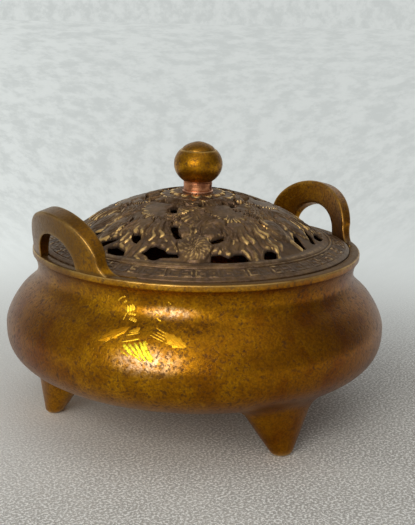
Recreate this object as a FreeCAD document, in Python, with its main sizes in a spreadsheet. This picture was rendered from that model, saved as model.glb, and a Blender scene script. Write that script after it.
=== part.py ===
import FreeCAD, Part
import math
import os

import Sketcher
from FreeCAD import Placement, Rotation, Vector

# Bronze tripod incense burner with a pierced, domed lid.
#
# Frame: millimetres, +Z up. The origin is the point of the floor under the middle of the bowl.
# The handles stand at +X and -X, the right one set a touch towards the front as the hand-made
# original has it. One foot is at -Y, and the other two are a third of a turn away.

# Driving dimensions: name, value, what it is.
SIZES = [
    # Bowl, from the floor up
    ("foot_height", 12.8, "floor to the underside of the bowl"),
    ("belly_radius", 65.0, "bowl at its widest"),
    ("belly_drop", 21.7, "widest level down to the underside"),
    ("belly_rise", 21.7, "height over which the upper belly would close in"),
    ("shoulder_reach", 22.4, "how far the upper belly would close in"),
    ("neck_rise", 19.7, "widest level up to the narrowest of the neck"),
    ("neck_inset", 11.4, "narrowest of the neck, in from the widest radius"),
    ("lip_rise", 3.85, "narrowest of the neck up to the lip's lower edge"),
    ("lip_overhang", 2.35, "lip, out from the narrowest of the neck"),
    ("lip_face", 1.8, "height of the lip's upright face"),
    ("rim_crown", 0.45, "rim top above the lip's face"),
    ("rim_width", 3.45, "rim from the lip's face to the lid's recess"),
    ("ledge_width", 3.5, "ledge that carries the lid"),
    ("seat_depth", 1.6, "ledge below the rim top"),
    ("belly_wall", 3.5, "wall of the belly"),
    ("floor_wall", 4.0, "floor of the bowl"),
    ("throat_height", 1.6, "upright wall below the ledge"),
    # Feet
    ("foot_inset", 15.8, "foot tip, in from the widest radius"),
    ("foot_tip_width", 2.5, "flat of the tip, half its width round the bowl"),
    ("foot_heel_height", 0.9, "top of the tip's rounding"),
    ("foot_heel_width", 3.9, "half width above the rounding"),
    ("foot_shin_height", 7.5, "half way up"),
    ("foot_shin_width", 8.0, "half width half way up"),
    ("foot_top_height", 14.1, "under the belly"),
    ("foot_top_width", 11.9, "half width under the belly"),
    ("foot_root_height", 24.2, "root, inside the belly's outline"),
    ("foot_root_width", 19.0, "half width of the root"),
    # Handles
    ("handle_setback", 0.2, "inner face of a handle, out from the lid's recess"),
    ("handle_rim_step", 0.25, "outer face of a handle, in from the lip's face"),
    ("handle_rise", 16.9, "top of the outer edge above the lip's face"),
    ("handle_lean", 2.4, "outer face leans out by this at the top"),
    ("handle_fall", 1.35, "top falls by this from the inner to the outer edge"),
    ("handle_half_width", 20.8, "half the width of the arch"),
    ("handle_half_foot", 29.5, "half the width at the rim"),
    ("handle_flare_height", 4.6, "height of the hollow curve at the rim"),
    ("loop_half_width", 11.0, "half the width of the finger loop"),
    ("loop_half_foot", 11.8, "half the width of the finger loop at the rim"),
    ("loop_rise", 9.8, "top of the finger loop above the lip's face"),
    ("handle_sink", 1.3, "how far a handle is let into the rim before it is trimmed"),
    # Lid
    ("lid_play", 0.3, "clearance of the lid all round"),
    ("seat_gap", 0.05, "clearance under the lid's flange"),
    ("flange_edge", 2.05, "thickness of the flange's edge"),
    ("flange_bevel", 0.35, "bevel on the flange's edge"),
    ("band_width", 5.9, "fret band, in from the flange's edge"),
    ("band_rise", 1.9, "fret band's inner side above its outer side"),
    ("bead_width", 0.8, "moulding inside the fret band"),
    ("bead_rise", 0.45, "height of the moulding"),
    ("skirt_depth", 4.0, "skirt below the flange"),
    ("skirt_wall", 2.0, "wall of the skirt"),
    ("hollow_rise", 1.6, "skirt's inner wall above the flange's underside"),
    ("ring_width", 3.2, "smooth ring between the moulding and the dome"),
    ("dome_spread", 3.15, "how far the dome's curve would run out past its foot"),
    ("dome_sink", 0.35, "dome's foot curve below the flange's top edge"),
    ("dome_rise", 18.1, "height of the dome"),
    ("dome_wall", 2.2, "wall of the dome"),
    ("boss_radius", 6.0, "flat seats above and below the middle"),
    ("boss_sink", 0.25, "upper flat seat below the dome's top"),
    ("boss_thickness", 3.0, "between the two flat seats"),
    # Finial and its fastening
    ("collar_radius", 4.9, "copper collar"),
    ("collar_foot_spread", 0.35, "foot of the collar, out from its tube"),
    ("collar_foot_height", 0.9, "foot of the collar"),
    ("collar_height", 4.2, "copper collar"),
    ("knob_radius", 8.27, "ball at its widest"),
    ("knob_half_height", 7.15, "half height that the ball's outline would have"),
    ("knob_rise", 5.6, "collar to the ball's widest level"),
    ("cap_rise", 4.9, "ball's widest level to the cap's edge"),
    ("cap_radius", 5.5, "raised cap"),
    ("cap_height", 2.75, "raised cap"),
    ("stud_radius", 1.5, "stud"),
    ("stud_grip", 6.0, "stud inside the knob"),
    ("washer_radius", 4.2, "washer"),
    ("washer_thickness", 0.8, "washer"),
    ("nut_flats", 5.5, "across the flats"),
    ("nut_height", 2.4, "nut"),
    ("stud_bevel", 0.35, "stud's lower end"),
    ("stud_tail", 1.0, "stud below the nut"),
    # Shared
    ("overrun", 2.0, "how far a cutting shape runs past what it cuts"),
]

# Upper belly: where its curve gives way to the neck, and inside to the throat, as shares of the
# height over which it would close in.
NECK_START_SHARE = 0.719
THROAT_SHARE = 0.802

# Heights and radii that follow from the driving dimensions: name, formula.
PLACES = [
    ("widest_level", "foot_height + belly_drop"),
    ("neck_start_level", f"widest_level + belly_rise * {NECK_START_SHARE}"),
    ("neck_level", "widest_level + neck_rise"),
    ("neck_radius", "belly_radius - neck_inset"),
    ("lip_radius", "neck_radius + lip_overhang"),
    ("lip_low_level", "neck_level + lip_rise"),
    ("lip_top_level", "lip_low_level + lip_face"),
    ("rim_level", "lip_top_level + rim_crown"),
    ("seat_radius", "lip_radius - rim_width"),
    ("seat_level", "rim_level - seat_depth"),
    ("mouth_radius", "seat_radius - ledge_width"),
    ("throat_level", f"widest_level + (belly_rise - belly_wall) * {THROAT_SHARE}"),
    ("foot_circle", "belly_radius - foot_inset"),
    ("handle_inner_radius", "seat_radius + handle_setback"),
    ("handle_foot_radius", "lip_radius - handle_rim_step"),
    ("handle_top_radius", "handle_foot_radius + handle_lean"),
    ("handle_depth", "handle_top_radius - handle_inner_radius"),
    ("lid_radius", "seat_radius - lid_play"),
    ("skirt_radius", "mouth_radius - lid_play"),
    ("flange_level", "seat_level + seat_gap"),
    ("flange_top_level", "flange_level + flange_edge"),
    ("band_inner_radius", "lid_radius - band_width"),
    ("bead_inner_radius", "band_inner_radius - bead_width"),
    ("dome_foot_radius", "bead_inner_radius - ring_width"),
    ("dome_radius", "dome_foot_radius + dome_spread"),
    ("dome_level", "flange_top_level - dome_sink"),
    ("boss_level", "dome_level + dome_rise - boss_sink"),
    ("boss_under_level", "boss_level - boss_thickness"),
    ("collar_foot_radius", "collar_radius + collar_foot_spread"),
    ("collar_top_level", "boss_level + collar_height"),
    ("knob_level", "collar_top_level + knob_rise"),
    ("cap_level", "knob_level + cap_rise"),
    ("nut_top_level", "boss_under_level - washer_thickness"),
    ("nut_level", "nut_top_level - nut_height"),
    ("stud_level", "nut_level - stud_tail"),
    ("stud_length", "collar_top_level + stud_grip - stud_level"),
]

# Fullness of a curve: 2 is an ellipse, 1 a straight line, and more is squarer.
LOWER_BELLY_POWER = 2.84
UPPER_BELLY_POWER = 1.535
DOME_FOOT_POWER = 1.76
DOME_TOP_POWER = 1.3

# Foot: its tip stands further out than its root, by this share of the height, and its sections
# are less deep towards the axis than wide.
FOOT_SPLAY_SHARE = 0.26
FOOT_DEPTH_SHARES = {"tip": 0.92, "heel": 0.82, "shin": 0.74, "top": 0.725, "root": 0.737}
FOOT_TURNS = {"foot_front": 270, "foot_back_right": 30, "foot_back_left": 150}
HANDLE_TURNS = {"handle_right": -1.5, "handle_left": 180}

# A step's rounding, as a share of the step.
ROUNDING_SHARE = 0.8

# Neck and hollow curves: the middle point of an arc, as shares of its width and height.
FLARE_MIDDLE_SHARES = (0.76, 0.22)

# Openings of one third of the lid, as shares of the dome's foot radius: distance from the axis,
# azimuth in degrees, half length, bulge outwards, bulge inwards, and the turn of the long side
# against the ring in degrees.
LID_SECTORS = 3
OPENING_SHARES = [
    (0.985, 195, 0.085, 0.022, 0.042, 0),
    (0.862, 202, 0.048, 0.042, 0.042, 20),
    (0.958, 218, 0.132, 0.040, 0.058, 0),
    (0.745, 221, 0.076, 0.034, 0.030, 80),
    (0.818, 244, 0.062, 0.030, 0.034, -22),
    (0.975, 249, 0.152, 0.026, 0.050, 0),
    (0.975, 268, 0.062, 0.036, 0.038, 0),
    (0.925, 292, 0.072, 0.030, 0.026, 82),
    (0.940, 307, 0.058, 0.026, 0.026, 68),
    (0.790, 282, 0.050, 0.026, 0.028, 40),
    (0.475, 211, 0.036, 0.024, 0.026, 30),
    (0.560, 237, 0.050, 0.026, 0.026, 84),
    (0.365, 237, 0.032, 0.022, 0.024, 20),
    (0.350, 281, 0.040, 0.026, 0.030, -15),
    (0.590, 290, 0.052, 0.026, 0.024, 70),
]

# Low swellings of the carving, repeated every sixth of a turn: a broad flower head and a round fruit.
# Distance, half width and height are shares of the dome's foot radius, and the azimuth is in degrees.
BLOOM_SHARES = [(0.62, 200, 0.19, 0.0225), (0.9, 233.5, 0.082, 0.024)]
BLOOM_SINK_SHARE = 0.3

doc = FreeCAD.newDocument("incense_burner")
sheet = doc.addObject("Spreadsheet::Sheet", "sizes")
sheet.Label = "sizes"


def fill_sheet():
    """Write the driving dimensions and what follows from them, one row each."""
    for row, (name, value, meaning) in enumerate(SIZES, 1):
        sheet.set(f"A{row}", name)
        sheet.set(f"B{row}", str(value))
        sheet.setAlias(f"B{row}", name)
        sheet.set(f"C{row}", meaning)
    for row, (name, formula) in enumerate(PLACES, len(SIZES) + 1):
        sheet.set(f"A{row}", name)
        sheet.set(f"B{row}", "=" + formula)
        sheet.setAlias(f"B{row}", name)
    doc.recompute()


def size(name):
    """A value from the sheet, in millimetres."""
    return float(sheet.get(name))


def bind(item, prop, formula):
    """Tie a property to a formula of the sheet's names, such as <knob_radius>."""
    item.setExpression(prop, formula.replace("<", "sizes.").replace(">", ""))


def at(radius, level):
    """A point of an outline, in the plane through the axis."""
    return Vector(radius, 0, level)


def line(start, end):
    return Part.LineSegment(start, end).toShape()


def arc(start, middle, end):
    return Part.Arc(start, middle, end).toShape()


def oval_arc(centre, across, up, start, end):
    """Part of an ellipse. Its turns are counted from one half axis towards the other."""
    if across.Length < up.Length:
        oval = Part.Ellipse(centre + up, centre - across, centre)
        start -= math.pi / 2
        end -= math.pi / 2
    else:
        oval = Part.Ellipse(centre + across, centre + up, centre)
    return Part.ArcOfEllipse(oval, start, end).toShape()


def spline(points, first=None, last=None):
    """A smooth curve through points, with its end directions where they are given."""
    curve = Part.BSplineCurve()
    if first is None:
        curve.interpolate(points)
    else:
        curve.interpolate(points, InitialTangent=first, FinalTangent=last)
    return curve.toShape()


def closing(share, power, end_power=None):
    """What is left of a curve's width at a share of its height, (1 - share^power)^(1/power)."""
    return max(1 - share ** power, 0) ** (1 / (end_power or power))


def lower_curve(radius, depth, level, steps=9):
    """Underside of a belly, from the axis out to the widest level."""
    turns = [math.pi / 2 * step / steps for step in range(steps + 1)]
    power = 2 / LOWER_BELLY_POWER
    points = [at(radius * math.sin(turn) ** power, level - depth * math.cos(turn) ** power)
              for turn in turns]
    points[-1] = at(radius, level)
    return spline(points, Vector(radius, 0, 0), Vector(0, 0, depth))


def upper_curve(radius, reach, rise, level, end_level, steps=8):
    """Upper belly from the widest level in to end_level. Gives the curve and its last point."""
    share = (end_level - level) / rise
    points = [at(radius - reach + reach * closing(share * step / steps, UPPER_BELLY_POWER),
                 level + rise * share * step / steps) for step in range(steps + 1)]
    slope = -reach / rise * share ** (UPPER_BELLY_POWER - 1)
    slope = slope * (1 - share ** UPPER_BELLY_POWER) ** (1 / UPPER_BELLY_POWER - 1)
    last = Vector(slope, 0, 1)
    return spline(points, Vector(0, 0, 1), last), points[-1], last


def outline(name, edges):
    """A closed outline as a face, kept as an object of the document."""
    item = doc.addObject("Part::Feature", name)
    item.Shape = Part.Face(Part.Wire(Part.__sortEdges__(edges)))
    return item


def turned(name, source):
    """A solid turned from an outline about the axis."""
    item = doc.addObject("Part::Revolution", name)
    item.Source = source
    item.Axis = Vector(0, 0, 1)
    item.Base = Vector(0, 0, 0)
    item.Angle = 360
    item.Solid = True
    return item


def cut(name, base, tool):
    item = doc.addObject("Part::Cut", name)
    item.Base = base
    item.Tool = tool
    return item


def bowl_outer_edges():
    """Outer side of the bowl, from the axis under the floor up to the lid's recess."""
    widest = size("widest_level")
    lower = lower_curve(size("belly_radius"), size("belly_drop"), widest)
    upper, neck_start, slope = upper_curve(size("belly_radius"), size("shoulder_reach"),
                                           size("belly_rise"), widest, size("neck_start_level"))
    lip_low = at(size("lip_radius"), size("lip_low_level"))
    lip_top = at(size("lip_radius"), size("lip_top_level"))
    neck = at(size("neck_radius"), size("neck_level"))
    hollow = spline([neck_start, neck, lip_low], slope, Vector(1, 0, 1))
    crown = at(size("lip_radius") - size("rim_width") / 2, size("rim_level"))
    recess = at(size("seat_radius"), (size("lip_top_level") + size("rim_level")) / 2)
    rim = arc(lip_top, crown, recess)
    return [lower, upper, hollow, line(lip_low, lip_top), rim], recess


def make_bowl():
    """The bowl, and its filled outer form, which feet and handles are fitted to."""
    edges, recess = bowl_outer_edges()
    top = at(0, recess.z)
    bottom = at(0, size("foot_height"))
    form = turned("bowl_form", outline("bowl_form_outline", edges + [line(recess, top), line(top, bottom)]))

    wall = size("belly_wall")
    widest = size("widest_level")
    inner_drop = size("belly_drop") - size("floor_wall")
    seat_out = at(size("seat_radius"), size("seat_level"))
    seat_in = at(size("mouth_radius"), size("seat_level"))
    inner_lower = lower_curve(size("belly_radius") - wall, inner_drop, widest)
    inner_upper, throat_end, slope = upper_curve(size("belly_radius") - wall, size("shoulder_reach"),
                                                 size("belly_rise") - wall, widest, size("throat_level"))
    throat = at(size("mouth_radius"), size("seat_level") - size("throat_height"))
    inner_floor = at(0, widest - inner_drop)
    edges, recess = bowl_outer_edges()
    edges += [
        line(recess, seat_out),
        line(seat_out, seat_in),
        line(seat_in, throat),
        spline([throat_end, throat], slope, Vector(0, 0, 1)),
        inner_upper,
        inner_lower,
        line(inner_floor, bottom),
    ]
    bowl = turned("bowl", outline("bowl_outline", edges))
    return bowl, form


def make_foot(name, turn, form):
    """A foot: oval sections from the tip up, joined smoothly and trimmed to the belly."""
    sections = [("0", "tip")] + [(f"<foot_{part}_height>", part) for part in ("heel", "shin", "top", "root")]
    ovals = []
    for level, part in sections:
        oval = doc.addObject("Part::Ellipse", f"{name}_{part}")
        bind(oval, "MajorRadius", f"<foot_{part}_width>")
        bind(oval, "MinorRadius", f"<foot_{part}_width> * {FOOT_DEPTH_SHARES[part]}")
        reach = f"(<foot_circle> - {FOOT_SPLAY_SHARE} * {level})"
        oval.Placement = Placement(Vector(0, 0, 0), Rotation(Vector(0, 0, 1), turn + 90))
        bind(oval, "Placement.Base.x", f"{reach} * cos({turn} deg)")
        bind(oval, "Placement.Base.y", f"{reach} * sin({turn} deg)")
        bind(oval, "Placement.Base.z", level)
        ovals.append(oval)
    loft = doc.addObject("Part::Loft", f"{name}_loft")
    loft.Sections = ovals
    loft.Solid = True
    loft.Ruled = False
    return cut(name, loft, form)


def make_handle(name, turn, form):
    """A handle: an arch seen from the side, kept between two walls that follow the rim."""
    base_level = size("lip_top_level")
    middle = Vector(0, 0, base_level)
    flare_level = base_level + size("handle_flare_height")
    half_width = size("handle_half_width")
    half_foot = size("handle_half_foot")
    rise = size("handle_rise")
    depth = size("handle_depth")
    # The arch falls outwards, so its ends, which lie nearest to the handle's own plane, start lower.
    foot_reach = math.sqrt(size("handle_foot_radius") ** 2 - half_foot ** 2)
    foot_level = base_level - size("handle_fall") / depth * (size("handle_top_radius") - foot_reach)
    low = foot_level - size("handle_sink")
    loop_half = size("loop_half_width")
    loop_foot = size("loop_half_foot")
    loop_rise = size("loop_rise")

    start = math.asin(size("handle_flare_height") / rise)
    arch = oval_arc(middle, Vector(0, half_width, 0), Vector(0, 0, rise), start, math.pi - start)
    leg = half_width * math.cos(start)
    loop = oval_arc(middle, Vector(0, loop_half, 0), Vector(0, 0, loop_rise), 0, math.pi)
    edges = [arch, loop]
    across, up = FLARE_MIDDLE_SHARES
    for side in (-1, 1):
        foot = Vector(0, side * half_foot, foot_level)
        knee = Vector(0, side * leg, flare_level)
        bend = Vector(0, side * (half_foot + (leg - half_foot) * across),
                      foot_level + (flare_level - foot_level) * up)
        corner = Vector(0, side * half_foot, low)
        inner_corner = Vector(0, side * loop_foot, low)
        inner_top = Vector(0, side * loop_half, base_level)
        edges += [arc(foot, bend, knee), line(foot, corner), line(corner, inner_corner),
                  line(inner_corner, inner_top)]
    face = outline(f"{name}_arch", edges)
    reach = size("handle_top_radius") + size("overrun")
    drop = size("handle_fall") / depth * size("overrun")
    face.Placement = Placement(Vector(reach, 0, -drop), Rotation())

    bar = doc.addObject("Part::Extrusion", f"{name}_bar")
    bar.Base = face
    bar.DirMode = "Custom"
    bar.Dir = Vector(-depth, 0, size("handle_fall"))
    bar.LengthFwd = reach - size("mouth_radius")
    bar.Solid = True

    inner_radius = size("handle_inner_radius")
    foot_radius = size("handle_foot_radius")
    top_radius = size("handle_top_radius")
    grow = (top_radius - foot_radius) / rise
    ring_low = base_level - size("handle_sink")
    top = base_level + rise + size("handle_fall") + size("overrun")
    corners = [at(inner_radius, ring_low), at(foot_radius - grow * size("handle_sink"), ring_low),
               at(foot_radius + grow * (top - base_level), top), at(inner_radius, top)]
    sides = [line(corners[k], corners[(k + 1) % 4]) for k in range(4)]
    ring = turned(f"{name}_ring", outline(f"{name}_ring_outline", sides))

    block = doc.addObject("Part::Common", f"{name}_block")
    block.Base = bar
    block.Tool = ring
    handle = cut(name, block, form)
    handle.Placement = Placement(Vector(0, 0, 0), Rotation(Vector(0, 0, 1), turn))
    return handle


def dome_level(radius, foot, rise):
    """Level of a dome's surface at a radius."""
    return size("dome_level") + rise * closing(radius / foot, DOME_FOOT_POWER, DOME_TOP_POWER)


def dome_curve(inner, outer, foot, rise, steps=9):
    """The dome's surface between two radii, from the inner one out."""
    radii = [inner + (outer - inner) * step / steps for step in range(steps + 1)]
    return [at(radius, dome_level(radius, foot, rise)) for radius in radii]


def bloom_solid(distance, azimuth, half, height):
    """A low round swelling on the dome, with its axis square to the dome and its rim on it."""
    unit = size("dome_foot_radius")
    spot = at(distance * unit, dome_level(distance * unit, size("dome_radius"), size("dome_rise")))
    near, far = [at(radius * unit, dome_level(radius * unit, size("dome_radius"), size("dome_rise")))
                 for radius in (distance - half, distance + half)]
    middle = (near + far) / 2
    reach = (far - near).Length / 2
    crown = (spot - middle).Length + height * unit
    round_radius = (reach ** 2 + crown ** 2) / (2 * crown)
    base = at(0, -BLOOM_SINK_SHARE * size("dome_wall"))
    half_turn = math.acos((round_radius - crown + base.z) / round_radius) / 2
    midway, rim = [at(round_radius * math.sin(part), crown - round_radius * (1 - math.cos(part)))
                   for part in (half_turn, 2 * half_turn)]
    edges = [arc(at(0, crown), midway, rim), line(rim, base), line(base, at(0, crown))]
    solid = Part.Face(Part.Wire(edges)).revolve(Vector(0, 0, 0), Vector(0, 0, 1), 360)
    lean = Rotation(Vector(1, 0, 0), far - near)
    solid.Placement = Placement(Vector(0, 0, 0), Rotation(Vector(0, 0, 1), azimuth)) * Placement(middle, lean)
    return solid


def opening_face(distance, azimuth, half_length, bulge_out, bulge_in, turn):
    """A leaf-shaped gap of two arcs. Its places are shares of the dome's foot radius."""
    unit = size("dome_foot_radius")
    angle = math.radians(azimuth)
    centre = Vector(math.cos(angle), math.sin(angle), 0) * (distance * unit)
    along_angle = angle + math.pi / 2 + math.radians(turn)
    along = Vector(math.cos(along_angle), math.sin(along_angle), 0)
    outwards = Vector(along.y, -along.x, 0)
    start = centre - along * (half_length * unit)
    end = centre + along * (half_length * unit)
    far = Part.Arc(start, centre + outwards * (bulge_out * unit), end).toShape()
    near = Part.Arc(end, centre - outwards * (bulge_in * unit), start).toShape()
    return Part.Face(Part.Wire([far, near]))


def make_lid():
    """The lid: a flange, a skirt that drops into the mouth, and a pierced dome."""
    lid_radius = size("lid_radius")
    skirt_out = size("skirt_radius")
    skirt_in = skirt_out - size("skirt_wall")
    under = size("flange_level")
    skirt_low = under - size("skirt_depth")
    top = size("flange_top_level")
    bevel = size("flange_bevel")
    band_in = size("band_inner_radius")
    band_top = top + size("band_rise")
    bead_top = band_top + size("bead_rise")
    bead_in = size("bead_inner_radius")
    boss = size("boss_radius")
    wall = size("dome_wall")
    foot = size("dome_foot_radius")

    shell = dome_curve(boss, foot, size("dome_radius"), size("dome_rise"))
    inner_foot = foot - wall
    under_shell = dome_curve(boss, inner_foot, size("dome_radius") - wall, size("dome_rise") - wall)
    seat = at(boss, size("boss_level"))
    under_seat = at(boss, size("boss_under_level"))
    bore = size("stud_radius")
    path = [at(skirt_in, skirt_low), at(skirt_out, skirt_low), at(skirt_out, under), at(lid_radius, under),
            at(lid_radius, top - bevel), at(lid_radius - bevel, top), at(band_in, band_top),
            at(band_in, bead_top), at(bead_in, bead_top), shell[-1]]
    edges = [line(path[k], path[k + 1]) for k in range(len(path) - 1)]
    edges += [spline(shell), line(shell[0], seat), line(seat, at(bore, seat.z)),
              line(at(bore, seat.z), at(bore, under_seat.z)), line(at(bore, under_seat.z), under_seat)]
    edges += [line(under_seat, under_shell[0]), spline(under_shell)]
    hollow = at(skirt_in, under + size("hollow_rise"))
    edges += [line(under_shell[-1], hollow), line(hollow, at(skirt_in, skirt_low))]
    blank = turned("lid_blank", outline("lid_outline", edges))

    faces = []
    for sector in range(LID_SECTORS):
        for distance, azimuth, half_length, bulge_out, bulge_in, turn in OPENING_SHARES:
            faces.append(opening_face(distance, azimuth + sector * 360 / LID_SECTORS, half_length,
                                      bulge_out, bulge_in, turn))
    gaps = doc.addObject("Part::Feature", "lid_opening_outlines")
    gaps.Shape = Part.Compound(faces)
    gaps.Placement = Placement(Vector(0, 0, under), Rotation())
    punch = doc.addObject("Part::Extrusion", "lid_openings")
    punch.Base = gaps
    punch.DirMode = "Custom"
    punch.Dir = Vector(0, 0, 1)
    bind(punch, "LengthFwd", "<boss_level> - <flange_level> + <overrun>")
    punch.Solid = True
    solids = []
    for sector in range(2 * LID_SECTORS):
        for distance, azimuth, half, height in BLOOM_SHARES:
            solids.append(bloom_solid(distance, azimuth + sector * 180 / LID_SECTORS, half, height))
    blooms = doc.addObject("Part::Feature", "lid_blooms")
    blooms.Shape = Part.Compound(solids)
    carved = doc.addObject("Part::Fuse", "lid_carved_blank")
    carved.Base = blank
    carved.Tool = blooms
    return cut("lid", carved, punch)


def make_knob():
    """The ball knob with its raised cap, bored from below for the stud."""
    bottom = size("collar_top_level")
    level = size("knob_level")
    cap = size("cap_level")
    radius = size("knob_radius")
    half_height = size("knob_half_height")
    low_turn = math.asin((bottom - level) / half_height)
    high_turn = math.asin((cap - level) / half_height)
    side = oval_arc(at(0, level), at(radius, 0), at(0, half_height), low_turn, high_turn)
    low = at(radius * math.cos(low_turn), bottom)
    shoulder = at(radius * math.cos(high_turn), cap)
    cap_edge = at(size("cap_radius"), cap)
    apex = at(0, cap + size("cap_height"))
    cap_sphere = (size("cap_radius") ** 2 + size("cap_height") ** 2) / (2 * size("cap_height"))
    half_turn = math.asin(size("cap_radius") / cap_sphere) / 2
    cap_middle = at(cap_sphere * math.sin(half_turn), apex.z - cap_sphere * (1 - math.cos(half_turn)))
    bore = size("stud_radius")
    bore_top = bottom + size("stud_grip")
    edges = [side, line(shoulder, cap_edge), arc(cap_edge, cap_middle, apex), line(apex, at(0, bore_top)),
             line(at(0, bore_top), at(bore, bore_top)), line(at(bore, bore_top), at(bore, bottom)),
             line(at(bore, bottom), low)]
    return turned("finial_knob", outline("finial_knob_outline", edges))


def new_body(name, level):
    """A body whose own base plane lies at a level of the sheet."""
    body = doc.addObject("PartDesign::Body", name)
    bind(body, "Placement.Base.z", level)
    return body


def plane_sketch(body, name, role):
    """A sketch on one of its own body's base planes."""
    sketch = body.newObject("Sketcher::SketchObject", name)
    plane = [item for item in body.Origin.OriginFeatures if item.Role == role][0]
    sketch.AttachmentSupport = [(plane, "")]
    sketch.MapMode = "FlatFace"
    return sketch


def add_ring(sketch, radius):
    """A circle about the middle with its radius tied to the sheet."""
    item = sketch.addGeometry(Part.Circle(Vector(0, 0, 0), Vector(0, 0, 1), 1), False)
    sketch.addConstraint(Sketcher.Constraint("Coincident", item, 3, -1, 1))
    rule = sketch.addConstraint(Sketcher.Constraint("Radius", item, 1))
    bind(sketch, f"Constraints[{rule}]", radius)


def pad(body, name, sketch, length):
    """Raise a sketch along +Z."""
    item = body.newObject("PartDesign::Pad", name)
    item.Profile = sketch
    bind(item, "Length", length)
    return item


def dress(body, kind, name, base, edges, prop, amount):
    """Round or bevel edges of a feature."""
    item = body.newObject(kind, name)
    item.Base = (base, edges)
    bind(item, prop, amount)
    return item


def end_circles(shape, level, radius):
    """Names of the round edges of a radius that lie at a level."""
    names = []
    for number, edge in enumerate(shape.Edges, 1):
        if not isinstance(edge.Curve, Part.Circle):
            continue
        if math.isclose(edge.Curve.Center.z, level, abs_tol=1e-6) and math.isclose(edge.Curve.Radius, radius):
            names.append(f"Edge{number}")
    return names


def make_collar():
    """The copper collar: a tube with a slightly wider foot."""
    body = new_body("finial_collar", "<boss_level>")
    foot_sketch = plane_sketch(body, "collar_foot_sketch", "XY_Plane")
    add_ring(foot_sketch, "<collar_foot_radius>")
    add_ring(foot_sketch, "<stud_radius>")
    pad(body, "collar_foot", foot_sketch, "<collar_foot_height>")
    tube_sketch = plane_sketch(body, "collar_tube_sketch", "XY_Plane")
    add_ring(tube_sketch, "<collar_radius>")
    add_ring(tube_sketch, "<stud_radius>")
    tube = pad(body, "collar_tube", tube_sketch, "<collar_height>")
    doc.recompute()
    edges = end_circles(tube.Shape, size("collar_foot_height"), size("collar_foot_radius"))
    dress(body, "PartDesign::Fillet", "collar_foot_rounding", tube, edges, "Radius",
          f"(<collar_foot_radius> - <collar_radius>) * {ROUNDING_SHARE}")
    return body


def make_stud():
    """The stud that ties the knob to the lid."""
    body = new_body("finial_stud", "<stud_level>")
    sketch = plane_sketch(body, "stud_sketch", "XY_Plane")
    add_ring(sketch, "<stud_radius>")
    rod = pad(body, "stud_rod", sketch, "<stud_length>")
    doc.recompute()
    edges = end_circles(rod.Shape, 0, size("stud_radius"))
    dress(body, "PartDesign::Chamfer", "stud_end", rod, edges, "Size", "<stud_bevel>")
    return body


def make_washer():
    """The washer under the lid's inner seat."""
    body = new_body("finial_washer", "<nut_top_level>")
    sketch = plane_sketch(body, "washer_sketch", "XY_Plane")
    add_ring(sketch, "<washer_radius>")
    add_ring(sketch, "<stud_radius>")
    pad(body, "washer_disc", sketch, "<washer_thickness>")
    return body


def make_nut():
    """The six-sided nut, its lower corners turned off."""
    body = new_body("finial_nut", "<nut_level>")
    sketch = plane_sketch(body, "nut_sketch", "XY_Plane")
    corners = [Vector(math.cos(math.radians(60 * k)), math.sin(math.radians(60 * k)), 0) for k in range(6)]
    for k in range(6):
        sketch.addGeometry(Part.LineSegment(corners[k], corners[(k + 1) % 6]), False)
    guide = sketch.addGeometry(Part.Circle(Vector(0, 0, 0), Vector(0, 0, 1), 1), True)
    sketch.addConstraint(Sketcher.Constraint("Coincident", guide, 3, -1, 1))
    for k in range(6):
        sketch.addConstraint(Sketcher.Constraint("Coincident", k, 2, (k + 1) % 6, 1))
        sketch.addConstraint(Sketcher.Constraint("PointOnObject", k, 1, guide))
        if k:
            sketch.addConstraint(Sketcher.Constraint("Equal", 0, k))
    sketch.addConstraint(Sketcher.Constraint("PointOnObject", 0, 1, -1))
    rule = sketch.addConstraint(Sketcher.Constraint("Radius", guide, 1))
    bind(sketch, f"Constraints[{rule}]", "<nut_flats> / 2 / cos(30 deg)")
    add_ring(sketch, "<stud_radius>")
    pad(body, "nut_block", sketch, "<nut_height>")

    cone = plane_sketch(body, "nut_corner_sketch", "XZ_Plane")
    flat = size("nut_flats") / 2
    far = flat + size("overrun")
    points = [Vector(flat, 0, 0), Vector(far, far - flat, 0), Vector(far, 0, 0)]
    for k in range(3):
        cone.addGeometry(Part.LineSegment(points[k], points[(k + 1) % 3]), False)
    for k in range(3):
        cone.addConstraint(Sketcher.Constraint("Coincident", k, 2, (k + 1) % 3, 1))
    cone.addConstraint(Sketcher.Constraint("PointOnObject", 0, 1, -1))
    cone.addConstraint(Sketcher.Constraint("PointOnObject", 1, 2, -1))
    cone.addConstraint(Sketcher.Constraint("Vertical", 1))
    near_rule = cone.addConstraint(Sketcher.Constraint("DistanceX", -1, 1, 0, 1, flat))
    bind(cone, f"Constraints[{near_rule}]", "<nut_flats> / 2")
    far_rule = cone.addConstraint(Sketcher.Constraint("DistanceX", -1, 1, 0, 2, far))
    bind(cone, f"Constraints[{far_rule}]", "<nut_flats> / 2 + <overrun>")
    tall_rule = cone.addConstraint(Sketcher.Constraint("DistanceY", -1, 1, 0, 2, far - flat))
    bind(cone, f"Constraints[{tall_rule}]", "<overrun> * tan(30 deg)")
    groove = body.newObject("PartDesign::Groove", "nut_corners")
    groove.Profile = cone
    groove.ReferenceAxis = (cone, ["V_Axis"])
    groove.Angle = 360
    return body


fill_sheet()
bowl, bowl_form = make_bowl()
nodes = [bowl]
nodes += [make_foot(name, turn, bowl_form) for name, turn in FOOT_TURNS.items()]
nodes += [make_handle(name, turn, bowl_form) for name, turn in HANDLE_TURNS.items()]
nodes += [make_lid(), make_knob(), make_collar(), make_stud(), make_washer(), make_nut()]
doc.recompute()

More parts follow.
